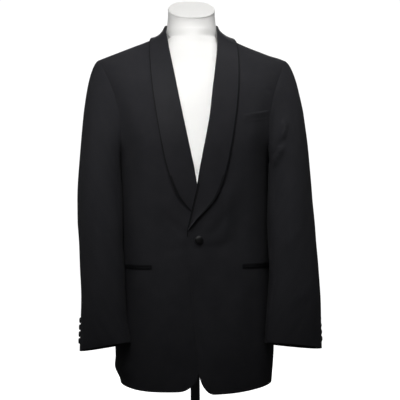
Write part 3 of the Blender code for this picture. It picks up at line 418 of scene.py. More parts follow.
def dye_and_finish(tree, shader, tones, dull=None, bumps=()):
    """Colour, roughness and relief from patterns. Tones and dull are a pattern and its two ends, each bump is a
    pattern, its strength and its depth, and lies over the one before."""
    colour = add_node(tree, "ShaderNodeValToRGB", {}, {"Fac": tones[0]})
    for end, tone in zip(colour.color_ramp.elements, tones[1:]):
        end.color = linear(tone)
    tree.links.new(colour.outputs[0], shader.inputs["Base Color"])
    if dull:
        rough = add_node(tree, "ShaderNodeMapRange", {"To Min": dull[1], "To Max": dull[2]}, {"Value": dull[0]})
        tree.links.new(rough.outputs[0], shader.inputs["Roughness"])
    under = {}
    for pattern, strength, deep in bumps:
        bump = add_node(tree, "ShaderNodeBump", {"Strength": strength, "Distance": deep}, {"Height": pattern, **under})
        under = {"Normal": bump.outputs[0]}
    for normal in under.values():
        tree.links.new(normal, shader.inputs["Normal"])


def wool_barathea(name, dark="#252529", light="#2e2e31"):
    cloth, tree, shader = new_material(name, {
        "Specular IOR Level": 0.19, "IOR": 1.5, "Sheen Weight": 0.016, "Sheen Roughness": 0.5})
    uv = add_node(tree, "ShaderNodeTexCoord").outputs["UV"]
    slanted = add_node(tree, "ShaderNodeMapping", {"Rotation": (0, 0, radians(TWILL_SLANT))}, {"Vector": uv})
    twill = bands(tree, slanted.outputs[0], "X", TWILL_MM, 0.6)
    yarn, patch = noise(tree, uv, 900.0), noise(tree, uv, 22.0, 4.0, Roughness=0.6)
    both = add_node(tree, "ShaderNodeMath", {"operation": "ADD"}, {0: patch, 1: yarn})
    tone = add_node(tree, "ShaderNodeMapRange", {"From Min": 0.7, "From Max": 1.3}, {"Value": both.outputs[0]})
    dye_and_finish(tree, shader, (tone.outputs[0], dark, light), (patch, 0.82, 0.95),
                   ((twill, 0.25, 0.0002), (yarn, 0.3, 0.0003)))
    return cloth


barathea = wool_barathea("wool_barathea")
# The same wool painted nearly black, as painted shade along the front's edge where the lapel turns
painted_shade_barathea = wool_barathea("wool_barathea_painted_edge_shade", "#0b0b0c", "#0e0e10")

# ================================================================ fronts, backs and sides
# The six body panels, each cut flat with its own seams and laid on the pressed shape: two fronts that lap at the
# button and are rounded off at the hem, two side bodies under the arms, two backs joined down the middle.
# They are one cloth thick, pressed in at the seams.
FRONT_EDGE = np.array((   # nominal height, distance past the middle
    (0.130, 0.0055),
    (0.204, 0.0000),
    (0.350, -0.0118),
    (0.470, -0.0220),
    (0.512, -0.0222),
    (0.560, -0.0095),
    (0.615, 0.0030),
    (0.700, 0.0205),
    (0.780, 0.0372),
    (0.850, 0.0525),
    (0.890, 0.0620),
    (0.915, 0.0760),
))
HEM = np.array((          # half width, height on the left front, on the right front, on the back
    (0.000, 0.1535, 0.1610, 0.1640),
    (0.060, 0.1540, 0.1595, 0.1640),
    (0.110, 0.1572, 0.1595, 0.1640),
    (0.150, 0.1622, 0.1625, 0.1645),
    (0.180, 0.1665, 0.1665, 0.1665),
))
CUTAWAY = {1: (0.031, 0.047), -1: (0.042, 0.042)}   # width and height of the rounded corner, left and right front
LAP, LAP_DEEP = 0.0012, 0.0023   # each front stands off the middle by this, and by more from the button down
LAP_NEAR, LAP_TOP, LAP_DEEP_AT = (0.030, 0.070), (0.66, 0.76), (0.46, 0.51)
SKIRT_ROWS, YOKE_ROWS = 13, 8
YOKE_LIFTS = np.array(tuple(enumerate((0.0, 13.0, 26.0, 38.0, 50.0, 61.0, 72.0, 81.0, 89.985))))
FRONT_COLUMNS, BACK_COLUMNS, SIDE_PANEL_COLUMNS = (52, 0.23), (40, 0.18), (26, 0.11)   # how many, over what width
SIDE_TURN = float(turn_of(read(ARMHOLE, UNDERARM_Z, 1), read(BODY, UNDERARM_Z, 1)))
HALF_GAP_TURN = 0.0006    # half of the gap at the side seams, as a turn
UNDERARM_DIP = 0.006      # how far the armhole is scooped out below the arm
BACK_NECK, BACK_NECK_CURVE = 0.9047, 0.7   # where the neck of the back begins, and how hollow it is
HEM_LEVEL = 0.17
SEAM_DIP, SEAM_REACH = 0.0006, 0.0022     # a pressed seam draws the cloth in by this much, over this width
ARMHOLE_FLAT, ARMHOLE_FROM = 0.8, (0.67, 0.72)   # and by this share less round the front of the armhole
ROWS_EACH = 8             # fine rows for each coarse one
PAINTED_SHADE_HEIGHTS = (0.498, 0.580)  # the front edge is painted with shade between these heights, where the lapel turns
PAINTED_SHADE_STRIPS = 2        # and that painted shade is this many columns of faces wide


def lap_shift(side, x, z):
    near = 1 - fade(np.abs(x), *LAP_NEAR)
    return side * near * (1 - fade(z, *LAP_TOP)) * (LAP + (LAP_DEEP - LAP) * fade(z, *LAP_DEEP_AT))


def hem_height(side, x, back):
    if back:
        return read(HEM, np.abs(x), 3)
    low = read(HEM, np.maximum(x, 0.0), 1 if side > 0 else 2)
    wide, tall = CUTAWAY[int(side)]
    inset = np.clip(x - read(FRONT_EDGE, HEM_LEVEL, 1), 0.0, wide)
    return low + tall - tall * np.sqrt(1 - (1 - inset / wide) ** 2)


def edge_shares(count, length, ends=(0.0008, 0.0022, 0.0042)):
    """Shares from 0 to 1 with a few close ones at both ends, for a strip about as wide as length."""
    close = [e / length for e in ends]
    inner = np.linspace(close[-1], 1 - close[-1], count)
    return np.concatenate(([0.0], close[:-1], inner, [1 - e for e in reversed(close[:-1])], [1.0]))


def grid_normals(grid, side):
    return unit(np.cross(np.gradient(grid, axis=1), np.gradient(grid, axis=0))) * side


def lengths_along(grid, axis):
    """Length of cloth from the first row or column of points to each one."""
    steps = np.cumsum(np.linalg.norm(np.diff(grid, axis=axis), axis=-1), axis=axis)
    return np.concatenate((np.zeros_like(np.take(steps, [0], axis=axis)), steps), axis=axis)


def seam_dip(grid, first, last):
    """Inward dip beside the seams at the first and last columns."""
    lengths = lengths_along(grid, 1)
    dip = np.zeros(grid.shape[:2])
    if first:
        dip += np.exp(-(lengths / SEAM_REACH) ** 2)
    if last:
        dip += np.exp(-((lengths[:, -1:] - lengths) / SEAM_REACH) ** 2)
    return SEAM_DIP * dip


def work_on(piece):
    """Selects one object alone, so that the operators work on it."""
    bpy.ops.object.select_all(action="DESELECT")
    piece.select_set(True)
    bpy.context.view_layer.objects.active = piece


def add_piece(name, mesh):
    piece = bpy.data.objects.new(name, mesh)
    bpy.context.scene.collection.objects.link(piece)
    work_on(piece)
    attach(piece, "root")
    return piece


def sew_panel(kind, node, grid, outside, material, thick=CLOTH, smooth=35.0, second=None, where=None):
    """Cloth or satin of even thickness on a grid of rows of points, in place of a CAD node; outside is 1 or -1 for the
    side that shows. A second material goes on the faces where the mask says so."""
    rows, columns = grid.shape[:2]
    index = np.arange(rows * columns).reshape(rows, columns)
    quads = np.stack((index[:-1, :-1], index[:-1, 1:], index[1:, 1:], index[1:, :-1]), axis=-1).reshape(-1, 4)
    if outside < 0:
        quads = quads[:, ::-1]
    mesh = bpy.data.meshes.new(kind + "_" + node)
    mesh.from_pydata(grid.reshape(-1, 3).tolist(), [], quads.tolist())
    u = lengths_along(grid, 1)
    flat = np.stack((u - u[:, -1:] / 2, lengths_along(grid, 0)), axis=-1).reshape(-1, 2)
    layer = mesh.uv_layers.new(name="UVMap")
    layer.data.foreach_set("uv", flat[quads.reshape(-1)].ravel())
    mesh.materials.append(material)
    if second:
        mesh.materials.append(second)
        mesh.polygons.foreach_set("material_index", where.astype(np.int32).ravel())
    piece = add_piece(kind + "_" + node, mesh)
    wall = piece.modifiers.new("thickness", "SOLIDIFY")
    wall.thickness, wall.offset = thick, 0.0
    bpy.ops.object.modifier_apply(modifier=wall.name)
    bpy.ops.object.shade_smooth_by_angle(angle=radians(smooth))
    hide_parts(node)
    return piece


def panel_grid(side, shares, inner, outer, back):
    """Distances from the middle and lift angles of a front or back between its inner and its outer line."""
    i = np.arange((SKIRT_ROWS + YOKE_ROWS) * ROWS_EACH + 1)[:, None] / ROWS_EACH
    shares = shares[None, :]
    low_half = read(BODY, HEM_LEVEL, 1)
    low_start = turn_of(inner(HEM_LEVEL), low_half)
    low_x = across(low_start + (outer(HEM_LEVEL) - low_start) * shares, low_half)
    low = hem_height(side, low_x, back)
    skirt = low + (UNDERARM_Z - low) * np.minimum(i / SKIRT_ROWS, 1.0)
    yoke_lift = read(YOKE_LIFTS, i - SKIRT_ROWS, 1) + 0 * shares
    lift = np.where(i <= SKIRT_ROWS, lift_of_nominal(skirt), yoke_lift)
    height = nominal(lift)
    half = read(BODY, height, 1)
    start = turn_of(inner(height), half)
    x = side * across(start + (outer(height) - start) * shares, half)
    if back:
        lift = 180 - lift
    return x, lift


def front_inner(height):
    return read(FRONT_EDGE, height, 1)


def outer_turn(height, column):
    armhole = turn_of(read(ARMHOLE, height, column), read(BODY, height, 1))
    return np.where(height < UNDERARM_Z, SIDE_TURN, armhole) - HALF_GAP_TURN


def back_inner(height):
    seam = SEAM_GAP / 2
    share = np.clip((height - BACK_NECK) / (FRONT_EDGE[-1, 0] - BACK_NECK), 0.0, 1.0)
    return seam + (FRONT_EDGE[-1, 1] - seam) * share**BACK_NECK_CURVE


for label, side in SIDES:
    x, lift = panel_grid(side, edge_shares(*FRONT_COLUMNS), front_inner, lambda h: outer_turn(h, 1), False)
    points = skin(x, lift)
    dip = seam_dip(points, False, True) * (1 - ARMHOLE_FLAT * fade(points[..., 2], *ARMHOLE_FROM))
    grid = hanging(x, lift, lap_shift(side, x, points[..., 2]) - dip)
    level = grid[:-1, :-1, 2]
    # Faces along the front's edge between these heights take the wool painted nearly black, as painted shade
    painted_shade_faces = (np.arange(grid.shape[1] - 1) < PAINTED_SHADE_STRIPS) & (level > PAINTED_SHADE_HEIGHTS[0]) & (level < PAINTED_SHADE_HEIGHTS[1])
    sew_panel("cloth", "front_" + label, grid, side, barathea,
                                              second=painted_shade_barathea, where=painted_shade_faces)

    x, lift = panel_grid(side, edge_shares(*BACK_COLUMNS), back_inner, lambda h: outer_turn(h, 2), True)
    grid = hanging(x, lift, -seam_dip(skin(x, lift), True, True))
    sew_panel("cloth", "back_" + label, grid, -side, barathea)

    seam = SIDE_TURN + HALF_GAP_TURN
    turn = seam + (2 - 2 * seam) * edge_shares(*SIDE_PANEL_COLUMNS)[None, :]
    sunk = UNDERARM_Z - UNDERARM_DIP * np.sin(
        pi * np.clip((turn - SIDE_TURN) / (2 - 2 * SIDE_TURN), 0.0, 1.0))
    near = np.minimum(turn, 2 - turn)
    low = hem_height(side, across(near, read(BODY, HEM_LEVEL, 1)), False)
    height = low + (sunk - low) * np.arange(SKIRT_ROWS * ROWS_EACH + 1)[:, None] / (SKIRT_ROWS * ROWS_EACH)
    x = side * across(near + 0 * height, read(BODY, height, 1))
    lift = lift_of_nominal(height, turn > 1)
    grid = hanging(x, lift, -seam_dip(skin(x, lift), True, True))
    sew_panel("cloth", "side_" + label, grid, side, barathea)

# ================================================================ sleeves
# Two-piece sleeves: a top sleeve and a narrower under sleeve, joined along the front and hind seams, eased
# into the armhole and hanging a little forward. The cuff is open below. The cloth breaks in soft folds where
# the empty arm hangs.
SLEEVE = {                # height, centre x, centre y, half width, half depth
    "left": np.array((
        (0.2525, 0.2140, -0.0980, 0.0640, 0.0400),
        (0.310, 0.2158, -0.0920, 0.0622, 0.0450),
        (0.370, 0.2195, -0.0830, 0.0590, 0.0500),
        (0.430, 0.2200, -0.0720, 0.0562, 0.0550),
        (0.490, 0.2172, -0.0600, 0.0557, 0.0600),
        (0.570, 0.2154, -0.0450, 0.0533, 0.0660),
        (0.635, 0.2140, -0.0300, 0.0520, 0.0720),
    )),
    "right": np.array((
        (0.2568, 0.2035, -0.0980, 0.0565, 0.0400),
        (0.310, 0.2070, -0.0920, 0.0515, 0.0450),
        (0.370, 0.2070, -0.0830, 0.0495, 0.0500),
        (0.430, 0.2085, -0.0720, 0.0495, 0.0550),
        (0.490, 0.2110, -0.0600, 0.0490, 0.0600),
        (0.570, 0.2115, -0.0450, 0.0530, 0.0660),
        (0.635, 0.2110, -0.0300, 0.0510, 0.0720),
    )),
}
SLEEVE_SEAMS = np.array(( # share of the way down, angle of the front seam, of the hind seam
    (0.0, 125.0, -100.0),
    (0.5, 135.0, -85.0),
    (1.0, 150.0, -30.0),
))
HEAD_ROWS, TUBE_ROWS = 8, 10
HEAD = HEAD_ROWS / (HEAD_ROWS + TUBE_ROWS)   # share of the way down that the sleeve head takes
FRONT_SEAM, HIND_SEAM, SLEEVE_COLUMNS = 7, -6, 20   # columns counted round the armhole from the shoulder
SIDE_COLUMNS = 4          # of these lie under the arm
TOP_COLUMNS, UNDER_COLUMNS = (56, 0.2), (40, 0.13)   # fine columns of each part, and over what width
SEAM_PULL = 0.006         # share of a column by which each part stops short of its seams
SLEEVE_CLEAR, POCKET_CLEAR, POCKET_HEIGHT = 0.0026, 0.0026, 0.4337   # room beside the body, more at the pocket
POCKET_NEAR = (0.02, 0.09)
HEAD_PUFF = {"left": 0.0245, "right": 0.0215}   # how far the sleeve head stands out
UNDER_PUFF, PUFF_DIP, HEAD_TUCK = 0.3, 0.1, 0.012   # the share of it under the arm, its dip, how far it draws in
HEAD_FALL = (0.4, 0.22)   # how straight the head falls into the tube, and more at its outer line
EASE_ROWS, EASE_TIMES = 22, 160   # rows each side of the upper arm that are smoothed together, and how often
CUFF_LEAN_SIDE = {"left": 0.11, "right": 0.145}   # slope of the cuff, which is lower at its outer line
CUFF_LEAN_BACK, CUFF_LEAN_FROM = 0.18, 0.4        # and lower behind; it starts at this share of the tube
SLEEVE_EASE = 0.00018     # gap at the armhole seam
SIDE_SOFT, SIDE_BLEND = 0.003, 0.012   # how softly it comes to lie against the side, and over what height
SLEEVE_SEAM_DIP = 0.4     # the sleeve seams are pressed in by this share of the dip of the body seams
FLAT_FRONT = 0.55         # below 1 the front of the sleeve stays flat up to the body
CUFF_SQUARE, CUFF_FROM = 0.5, (0.310, 0.360)   # how squarely the cuff turns behind its outer line
SLEEVE_FREE, BODY_SIDE, SLEEVE_WAVES = (0.02, 0.16), (122.0, 150.0), 1.15   # where the sleeve hangs freely
AROUND = 0.055 * pi / 180  # distance round the sleeve for each degree
SLEEVE_FOLDS = {          # bent lines as for the body, in degrees round from the outer line towards the front, and
                          # height, then how far each stands out (below 0 a trough) and its half width
    "left": (
        (82, 0.760, 88, 0.733, 108, 0.708, 0.0060, 0.0058),
        (98, 0.704, 117, 0.677, 141, 0.646, 0.0066, 0.0058),
        (90, 0.800, 107, 0.756, 124, 0.695, -0.0034, 0.0080),
        (54, 0.842, 62, 0.830, 76, 0.818, 0.0034, 0.0032),
        (116, 0.690, 96, 0.655, 84, 0.610, -0.0014, 0.0110),
        (100, 0.640, 98, 0.500, 104, 0.330, 0.0026, 0.0110),
        (64, 0.560, 60, 0.460, 66, 0.370, -0.0014, 0.0130),
        (36, 0.600, 28, 0.520, 40, 0.440, 0.0018, 0.0130),
        (70, 0.520, 100, 0.490, 132, 0.478, 0.0014, 0.0100),
        (50, 0.400, 84, 0.360, 110, 0.350, 0.0014, 0.0110),
        (-40, 0.620, -70, 0.540, -100, 0.500, 0.0036, 0.0120),
        (-30, 0.500, -64, 0.460, -104, 0.450, 0.0030, 0.0100),
        (-60, 0.760, -76, 0.690, -70, 0.620, 0.0030, 0.0130),
        (-110, 0.700, -120, 0.640, -112, 0.570, -0.0018, 0.0120),
    ),
    "right": (
        (98, 0.822, 106, 0.802, 104, 0.780, -0.0024, 0.0060),
        (88, 0.780, 84, 0.720, 88, 0.650, -0.0012, 0.0130),
        (58, 0.740, 50, 0.680, 54, 0.620, 0.0014, 0.0140),
        (84, 0.560, 76, 0.480, 80, 0.400, 0.0014, 0.0130),
        (60, 0.420, 68, 0.340, 84, 0.240, 0.0026, 0.0130),
        (104, 0.420, 106, 0.350, 104, 0.290, -0.0012, 0.0120),
        (60, 0.520, 96, 0.500, 126, 0.488, 0.0012, 0.0100),
        (-40, 0.610, -74, 0.540, -104, 0.505, 0.0034, 0.0120),
        (-34, 0.490, -66, 0.455, -100, 0.440, 0.0030, 0.0100),
        (-64, 0.770, -78, 0.700, -72, 0.630, 0.0028, 0.0130),
        (-110, 0.690, -118, 0.630, -114, 0.570, -0.0018, 0.0120),
    ),
}


def armhole(side, column):
    """Points and normals of the armhole edge: shoulder, front, underarm, back, shoulder."""
    c = np.mod(column, SLEEVE_COLUMNS)
    front, back = c < YOKE_ROWS, c > YOKE_ROWS + SIDE_COLUMNS
    front_lift = read(YOKE_LIFTS, YOKE_ROWS - c, 1)
    back_lift = read(YOKE_LIFTS, c - YOKE_ROWS - SIDE_COLUMNS, 1)
    share = np.clip((c - YOKE_ROWS) / SIDE_COLUMNS, 0.0, 1.0)
    turn = SIDE_TURN + (2 - 2 * SIDE_TURN) * share
    height = UNDERARM_Z - UNDERARM_DIP * np.sin(pi * share)
    under_x = across(np.minimum(turn, 2 - turn), read(BODY, height, 1))
    x = np.where(front, read(ARMHOLE, nominal(front_lift), 1),
                 np.where(back, read(ARMHOLE, nominal(back_lift), 2), under_x))
    lift = np.where(front, front_lift, np.where(back, 180 - back_lift, lift_of_nominal(height, turn > 1)))
    return hanging(side * x, lift, 0.0), outward(side * x, lift)


def beside_body(x, y, height):
    """Keeps a point of the sleeve just outside the side of the body."""
    deep = np.where(y > 0, read(BODY, height, 3), read(BODY, height, 2))
    body = read(BODY, height, 1) * (1 - np.minimum(np.abs(y) / deep, 1.0) ** ROUNDNESS) ** (1 / ROUNDNESS)
    body += SLEEVE_CLEAR + POCKET_CLEAR * (1 - fade(np.abs(height - POCKET_HEIGHT), *POCKET_NEAR))
    gap = x - body
    return np.where(np.abs(y) >= deep, x, body + 0.5 * (gap + np.sqrt(gap**2 + SIDE_SOFT**2)))


def sleeve_ring(side, table, height, angle):
    """Points of the tube of a sleeve at a height, by their angle from the outer line towards the front."""
    c, s = np.cos(np.radians(angle)), np.sin(np.radians(angle))
    s = np.where((c < 0) & (s > 0), np.abs(s) ** FLAT_FRONT, s)
    c = np.where((c > 0) & (s < 0), np.abs(c) ** (1 - CUFF_SQUARE * (1 - fade(height, *CUFF_FROM))), c)
    x = read(table, height, 1) + read(table, height, 3) * c
    y = read(table, height, 2) - read(table, height, 4) * s
    return np.stack((side * beside_body(x, y, height), y, height + 0 * x), axis=-1)


def sleeve_grid(label, side, down, column):
    """Points of a sleeve, and their angles round it; down runs from 0 at the armhole to 1 at the cuff."""
    table = SLEEVE[label]
    fine = np.linspace(0, SLEEVE_COLUMNS, 801)
    edge = armhole(side, np.minimum(fine, SLEEVE_COLUMNS - 1e-6))[0]
    length = np.concatenate(([0.0], np.cumsum(np.linalg.norm(np.diff(edge, axis=0), axis=1))))

    def start_angle(c):
        whole = np.floor(np.asarray(c, float) / SLEEVE_COLUMNS)
        return 360 * (np.interp(c - whole * SLEEVE_COLUMNS, fine, length / length[-1]) + whole)

    def turned(share):
        front, hind = read(SLEEVE_SEAMS, share, 1), read(SLEEVE_SEAMS, share, 2)
        here, first, last = start_angle(column), start_angle(FRONT_SEAM), start_angle(HIND_SEAM)
        top = hind + (front - hind) * (here - last) / (first - last)
        under = front + (hind + 360 - front) * (here - first) / (last + 360 - first)
        return np.where(column <= FRONT_SEAM, top, under)

    down, column = np.broadcast_arrays(down[:, None], column[None, :])
    top, low = table[-1, 0], table[0, 0]
    angle = turned(down)
    share = np.clip((down - HEAD) / (1 - HEAD), 0.0, 1.0)
    height = top + (low - top) * share
    tube = sleeve_ring(side, table, height, angle)
    lean = fade(share, CUFF_LEAN_FROM, 1.0)
    tube[..., 2] -= lean * (CUFF_LEAN_SIDE[label] * (np.abs(tube[..., 0]) - read(table, height, 1))
                            + CUFF_LEAN_BACK * (tube[..., 1] - read(table, height, 2)))
    t = np.clip(down / HEAD, 0.0, 1.0)[..., None]
    start, normal = armhole(side, column)
    ahead = armhole(side, column + 0.05)[0] - armhole(side, column - 0.05)[0]
    out = unit(np.cross(unit(ahead), normal)) * -side
    start = start + out * SLEEVE_EASE
    end_angle = turned(HEAD)
    end = sleeve_ring(side, table, top + 0 * column, end_angle)
    outer = np.maximum(np.cos(np.radians(end_angle)), 0.0)[..., None]
    away = unit(out + np.array((side, 0, -PUFF_DIP)))
    first = start + away * HEAD_PUFF[label] * (UNDER_PUFF + (1 - UNDER_PUFF) * outer)
    fall = (start - end)[..., 2:]
    pull = np.concatenate((-side * HEAD_TUCK * outer, 0 * outer, fall * (HEAD_FALL[0] + HEAD_FALL[1] * outer)), -1)
    crown = start * (1 - t) ** 3 + first * 3 * t * (1 - t) ** 2 + (end + pull) * 3 * t * t * (1 - t) + end * t**3
    x, y, z = crown[..., 0], crown[..., 1], crown[..., 2]
    weight = fade(UNDERARM_Z - z, 0.0, SIDE_BLEND)
    crown[..., 0] = side * (np.abs(x) + (beside_body(np.abs(x), y, z) - np.abs(x)) * weight)
    grid = np.where((down >= HEAD)[..., None], tube, crown)
    joint = np.argmin(np.abs(down[:, 0] - HEAD))
    if 0 < joint - EASE_ROWS and joint + EASE_ROWS < len(grid):
        for _ in range(EASE_TIMES):
            near = grid[joint - EASE_ROWS:joint + EASE_ROWS + 1]
            near[1:-1] = near[1:-1] / 2 + (near[:-2] + near[2:]) / 4
    return grid, angle


def sleeve_hang(label, grid, angle, down):
    """Distance that the hanging sleeve stands off its pressed shape, outwards."""
    round_it = (angle + 180) % 360 - 180
    folds = fold_depth(round_it * AROUND, grid[..., 2], tuple(
        (a * AROUND, b, c * AROUND, d, e * AROUND, f, deep, wide)
        for a, b, c, d, e, f, deep, wide in SLEEVE_FOLDS[label]))
    clear = 1 - fade(np.abs(round_it), *BODY_SIDE)
    return fade(down, *SLEEVE_FREE)[:, None] * clear * (folds - uneven(grid * SLEEVE_WAVES))


sleeve_down = np.linspace(0, 1, (HEAD_ROWS + TUBE_ROWS) * ROWS_EACH + 1)
for label, side in SIDES:
    for part, first, last, fine in (("top", HIND_SEAM, FRONT_SEAM, TOP_COLUMNS),
                                    ("under", FRONT_SEAM, HIND_SEAM + SLEEVE_COLUMNS, UNDER_COLUMNS)):
        column = first + SEAM_PULL + (last - first - 2 * SEAM_PULL) * edge_shares(*fine)
        grid, angle = sleeve_grid(label, side, sleeve_down, column)
        rise = sleeve_hang(label, grid, angle, sleeve_down) - SLEEVE_SEAM_DIP * seam_dip(grid, True, True)
        grid = grid + grid_normals(grid, side) * rise[..., None]
        name = part + "_sleeve_" + label
        sew_panel("cloth", name, grid, side, barathea)

# ================================================================ shawl collar
# Collar and lapels in one piece of satin over canvas, each half cut whole and seamed at the centre back. It
# stands up inside the neck, folds over on the roll line, and its bagged-out edge lies just off the fronts.
LAPEL = np.array((        # roll line x, z, height off the front; outer edge x, z
    (-0.0215, 0.5140, 0.0021, -0.0185, 0.5150),
    (-0.0150, 0.5400, 0.0022, -0.0010, 0.5390),
    (-0.0080, 0.5750, 0.0023, 0.0190, 0.5600),
    (0.0008, 0.6150, 0.0026, 0.0400, 0.5860),
    (0.0085, 0.6600, 0.0034, 0.0570, 0.6250),
    (0.0190, 0.7100, 0.0042, 0.0690, 0.6680),
    (0.0290, 0.7600, 0.0050, 0.0790, 0.7180),
    (0.0382, 0.8100, 0.0056, 0.0880, 0.7740),
    (0.0460, 0.8550, 0.0060, 0.0945, 0.8250),
    (0.0515, 0.8900, 0.0064, 0.0975, 0.8660),
    (0.0560, 0.9200, 0.0080, 0.0985, 0.9000),
))
COLLAR = np.array((       # roll line x, lift angle, height; edge x, lift; foot of the stand x, lift, height
    (0.0582, 74.0, 0.0120, 0.0975, 69.0, 0.0590, 76.0, 0.0),
    (0.0580, 84.0, 0.0200, 0.0920, 82.0, 0.0640, 85.0, 0.0),
    (0.0560, 92.0, 0.0292, 0.0830, 95.0, 0.0640, 94.0, 0.0),
    (0.0480, 99.0, 0.0350, 0.0680, 106.0, 0.0550, 98.5, 0.0),
    (0.0315, 103.5, 0.0385, 0.0420, 112.0, 0.0350, 101.8, 0.0),
    (0.0000, 107.5, 0.0410, 0.0000, 114.5, 0.0000, 106.8, 0.0),
))
EDGE_HEIGHT = 0.0022      # how far the outer edge stands off the cloth
LEFT_LEAN, LEAN_FROM, LEAN_TO = 0.0032, (0.74, 0.82), (0.91, 0.945)   # the left roll line lies further inwards
LEFT_STEP, STEP_FROM, STEP_TO = 0.0012, (0.515, 0.535), (0.62, 0.68)  # and stands off the right one at the crossing
EDGE_BOW, BOW_LOW = (0.0034, 0.0022), (0.60, 0.74)   # the edge stands higher all along, and more at the low end,
TIP_BOW, TIP_FROM = 0.4, (0.514, 0.532)       # but only by this share at its very tip
FLAT_BEHIND = (80.0, 104.0)   # behind the shoulder the edge comes down to the back between these lift angles
TIP_REACH, TIP_FLAT = 0.0012, (0.530, 0.600)   # at its low end the stand runs out flat, past the roll line
UNDER_LAP = (0.550, 0.610)    # heights up to which the left front covers the right lapel
FALL_POWER, NECK_FALL_POWER, NECK_FALL_FROM = 1.5, 2.3, (68.0, 84.0)  # how hollow it falls on chest and neck
FOLD_ROUND, FOLD_SHARE = 0.0035, 0.7          # half length of the rounded fold, and the most it takes of the cloth
STATIONS_EACH = 11            # rows of points for each row of the tables
STAND_COLUMNS, FOLD_COLUMNS, FALL_COLUMNS = 7, 9, (15, 0.05)
EDGE_STRIPS = 2               # columns of faces along the edge that are painted with shade
LOW_STRIPS, LOW_ROWS = 3, 46  # and on the lower part of the lapel, with how many rows that is
FOLD_STRIPS, CROSS_ROWS = 15, 34   # columns of the rounded fold of the left lapel painted with shade, and the rows where it crosses the right one


def glide(rows, t):
    """Rows of numbers on a smooth curve through equally spaced rows; t counts rows."""
    last = len(rows) - 1
    i = np.clip(t.astype(int), 0, last - 1)
    a, b, c, d = (rows[np.clip(i + k, 0, last)] for k in (-1, 0, 1, 2))
    t = (t - i)[:, None]
    return 0.5 * (2 * b + (c - a) * t + (2 * a - 5 * b + 4 * c - d) * t**2 + (3 * b - a - 3 * c + d) * t**3)


def lie_on(side, x, lift, height):
    """Points over the hanging cloth of one half of the jacket."""
    lap = np.where(lift < 90, lap_shift(side, side * x, skin(side * x, lift)[..., 2]), 0.0)
    return hanging(side * x, lift, height + lap)


def collar_grid(side):
    """Rows of points along one half of the collar, each from the foot of its stand over the fold to the edge."""
    fold = fade(LAPEL[:, 1], *TIP_FLAT)
    roll_lift = lift_of_height(LAPEL[:, 0], LAPEL[:, 1])
    rows = np.stack((LAPEL[:, 0], roll_lift, LAPEL[:, 2], LAPEL[:, 3], lift_of_height(LAPEL[:, 3], LAPEL[:, 4]),
                     LAPEL[:, 0] - TIP_REACH * (1 - fold), roll_lift, LAPEL[:, 2] * (1 - fold)), axis=1)
    beyond = COLLAR[-2] * np.array((-1, 1, 1, -1, 1, -1, 1, 1))   # past the centre back the collar is mirrored
    rows = np.vstack((rows, COLLAR, beyond))
    stations = glide(rows, np.linspace(0, len(rows) - 2, (len(rows) - 2) * STATIONS_EACH + 1))
    stations[-1, [0, 3, 5]] = SEAM_GAP / 2
    roll_x, roll_lift, height, edge_x, edge_lift, foot_x, foot_lift, foot_height = stations.T[:, :, None].copy()
    if side > 0:
        level = np.where(roll_lift < 90, nominal(roll_lift), 1.0)
        lean = LEFT_LEAN * fade(level, *LEAN_FROM) * (1 - fade(level, *LEAN_TO))
        roll_x, foot_x = roll_x - lean, foot_x - lean
        height = height + LEFT_STEP * (1 - fade(level, *STEP_TO)) * fade(level, *STEP_FROM)
    hollow = FALL_POWER + (NECK_FALL_POWER - FALL_POWER) * fade(roll_lift, *NECK_FALL_FROM)
    edge_level = nominal(edge_lift)
    bow = EDGE_BOW[0] + EDGE_BOW[1] * (1 - fade(edge_level, *BOW_LOW))
    bow = bow * (1 - fade(edge_lift, *FLAT_BEHIND)) * (TIP_BOW + (1 - TIP_BOW) * fade(edge_level, *TIP_FROM))
    if side < 0:          # the right lapel lies flat where the left front covers it
        bow = bow * fade(edge_level, *UNDER_LAP)

    def fall(share):
        rise = EDGE_HEIGHT + (height - EDGE_HEIGHT) * (1 - share) ** hollow + bow * share**2
        return lie_on(side, roll_x + (edge_x - roll_x) * share, roll_lift + (edge_lift - roll_lift) * share, rise)

    def stand(share):
        return lie_on(side, foot_x + (roll_x - foot_x) * share, foot_lift + (roll_lift - foot_lift) * share,
                      foot_height + (height - foot_height) * share)

    crest, foot, edge = stand(np.ones((1, 1))), stand(np.zeros((1, 1))), fall(np.ones((1, 1)))
    up, down = (np.linalg.norm(crest - end, axis=-1) for end in (foot, edge))
    reach = np.minimum(FOLD_ROUND, FOLD_SHARE * np.minimum(up, down))
    before, after = stand(1 - reach / up), fall(reach / down)
    t = np.linspace(0, 1, FOLD_COLUMNS)[1:-1][None, :, None]
    bend = before * (1 - t) ** 2 + crest * 2 * t * (1 - t) + after * t * t
    first = stand((1 - reach / up) * np.linspace(0, 1, STAND_COLUMNS)[None, :])
    shares = edge_shares(*FALL_COLUMNS)[3:][None, :]      # without the close ones at the fold
    shares = (shares - shares[:, :1]) / (1 - shares[:, :1])
    return np.concatenate((first, bend, fall(reach / down + (1 - reach / down) * shares)), axis=1)


# Duchesse satin: filament warp floating over the weft, dyed black. It is smooth along the warp, takes a soft
# streaked gloss and shows faint cross ribs. Threads of 0.1 mm are drawn 0.8 mm apart.
RIB_MM, STREAK_LONG = 0.8, 0.12


def duchesse_satin(name, dark, light, shine=0.05, rough=(0.40, 0.54)):
    cloth, tree, shader = new_material(name, {"IOR": 1.5, "Specular IOR Level": shine})
    uv = add_node(tree, "ShaderNodeTexCoord").outputs["UV"]
    drawn = add_node(tree, "ShaderNodeMapping", {"Scale": (1.0, STREAK_LONG, 1.0)}, {"Vector": uv})
    streak, cloud = noise(tree, drawn.outputs[0], 420.0, 3.0), noise(tree, uv, 30.0, 3.0)
    rib = bands(tree, uv, "Y", RIB_MM, 0.8)
    dye_and_finish(tree, shader, (cloud, dark, light), (streak, *rough),
                   ((rib, 0.2, 0.0001), (streak, 0.25, 0.0002)))
    return cloth


satin = duchesse_satin("duchesse_satin", "#28282b", "#2f2f32")
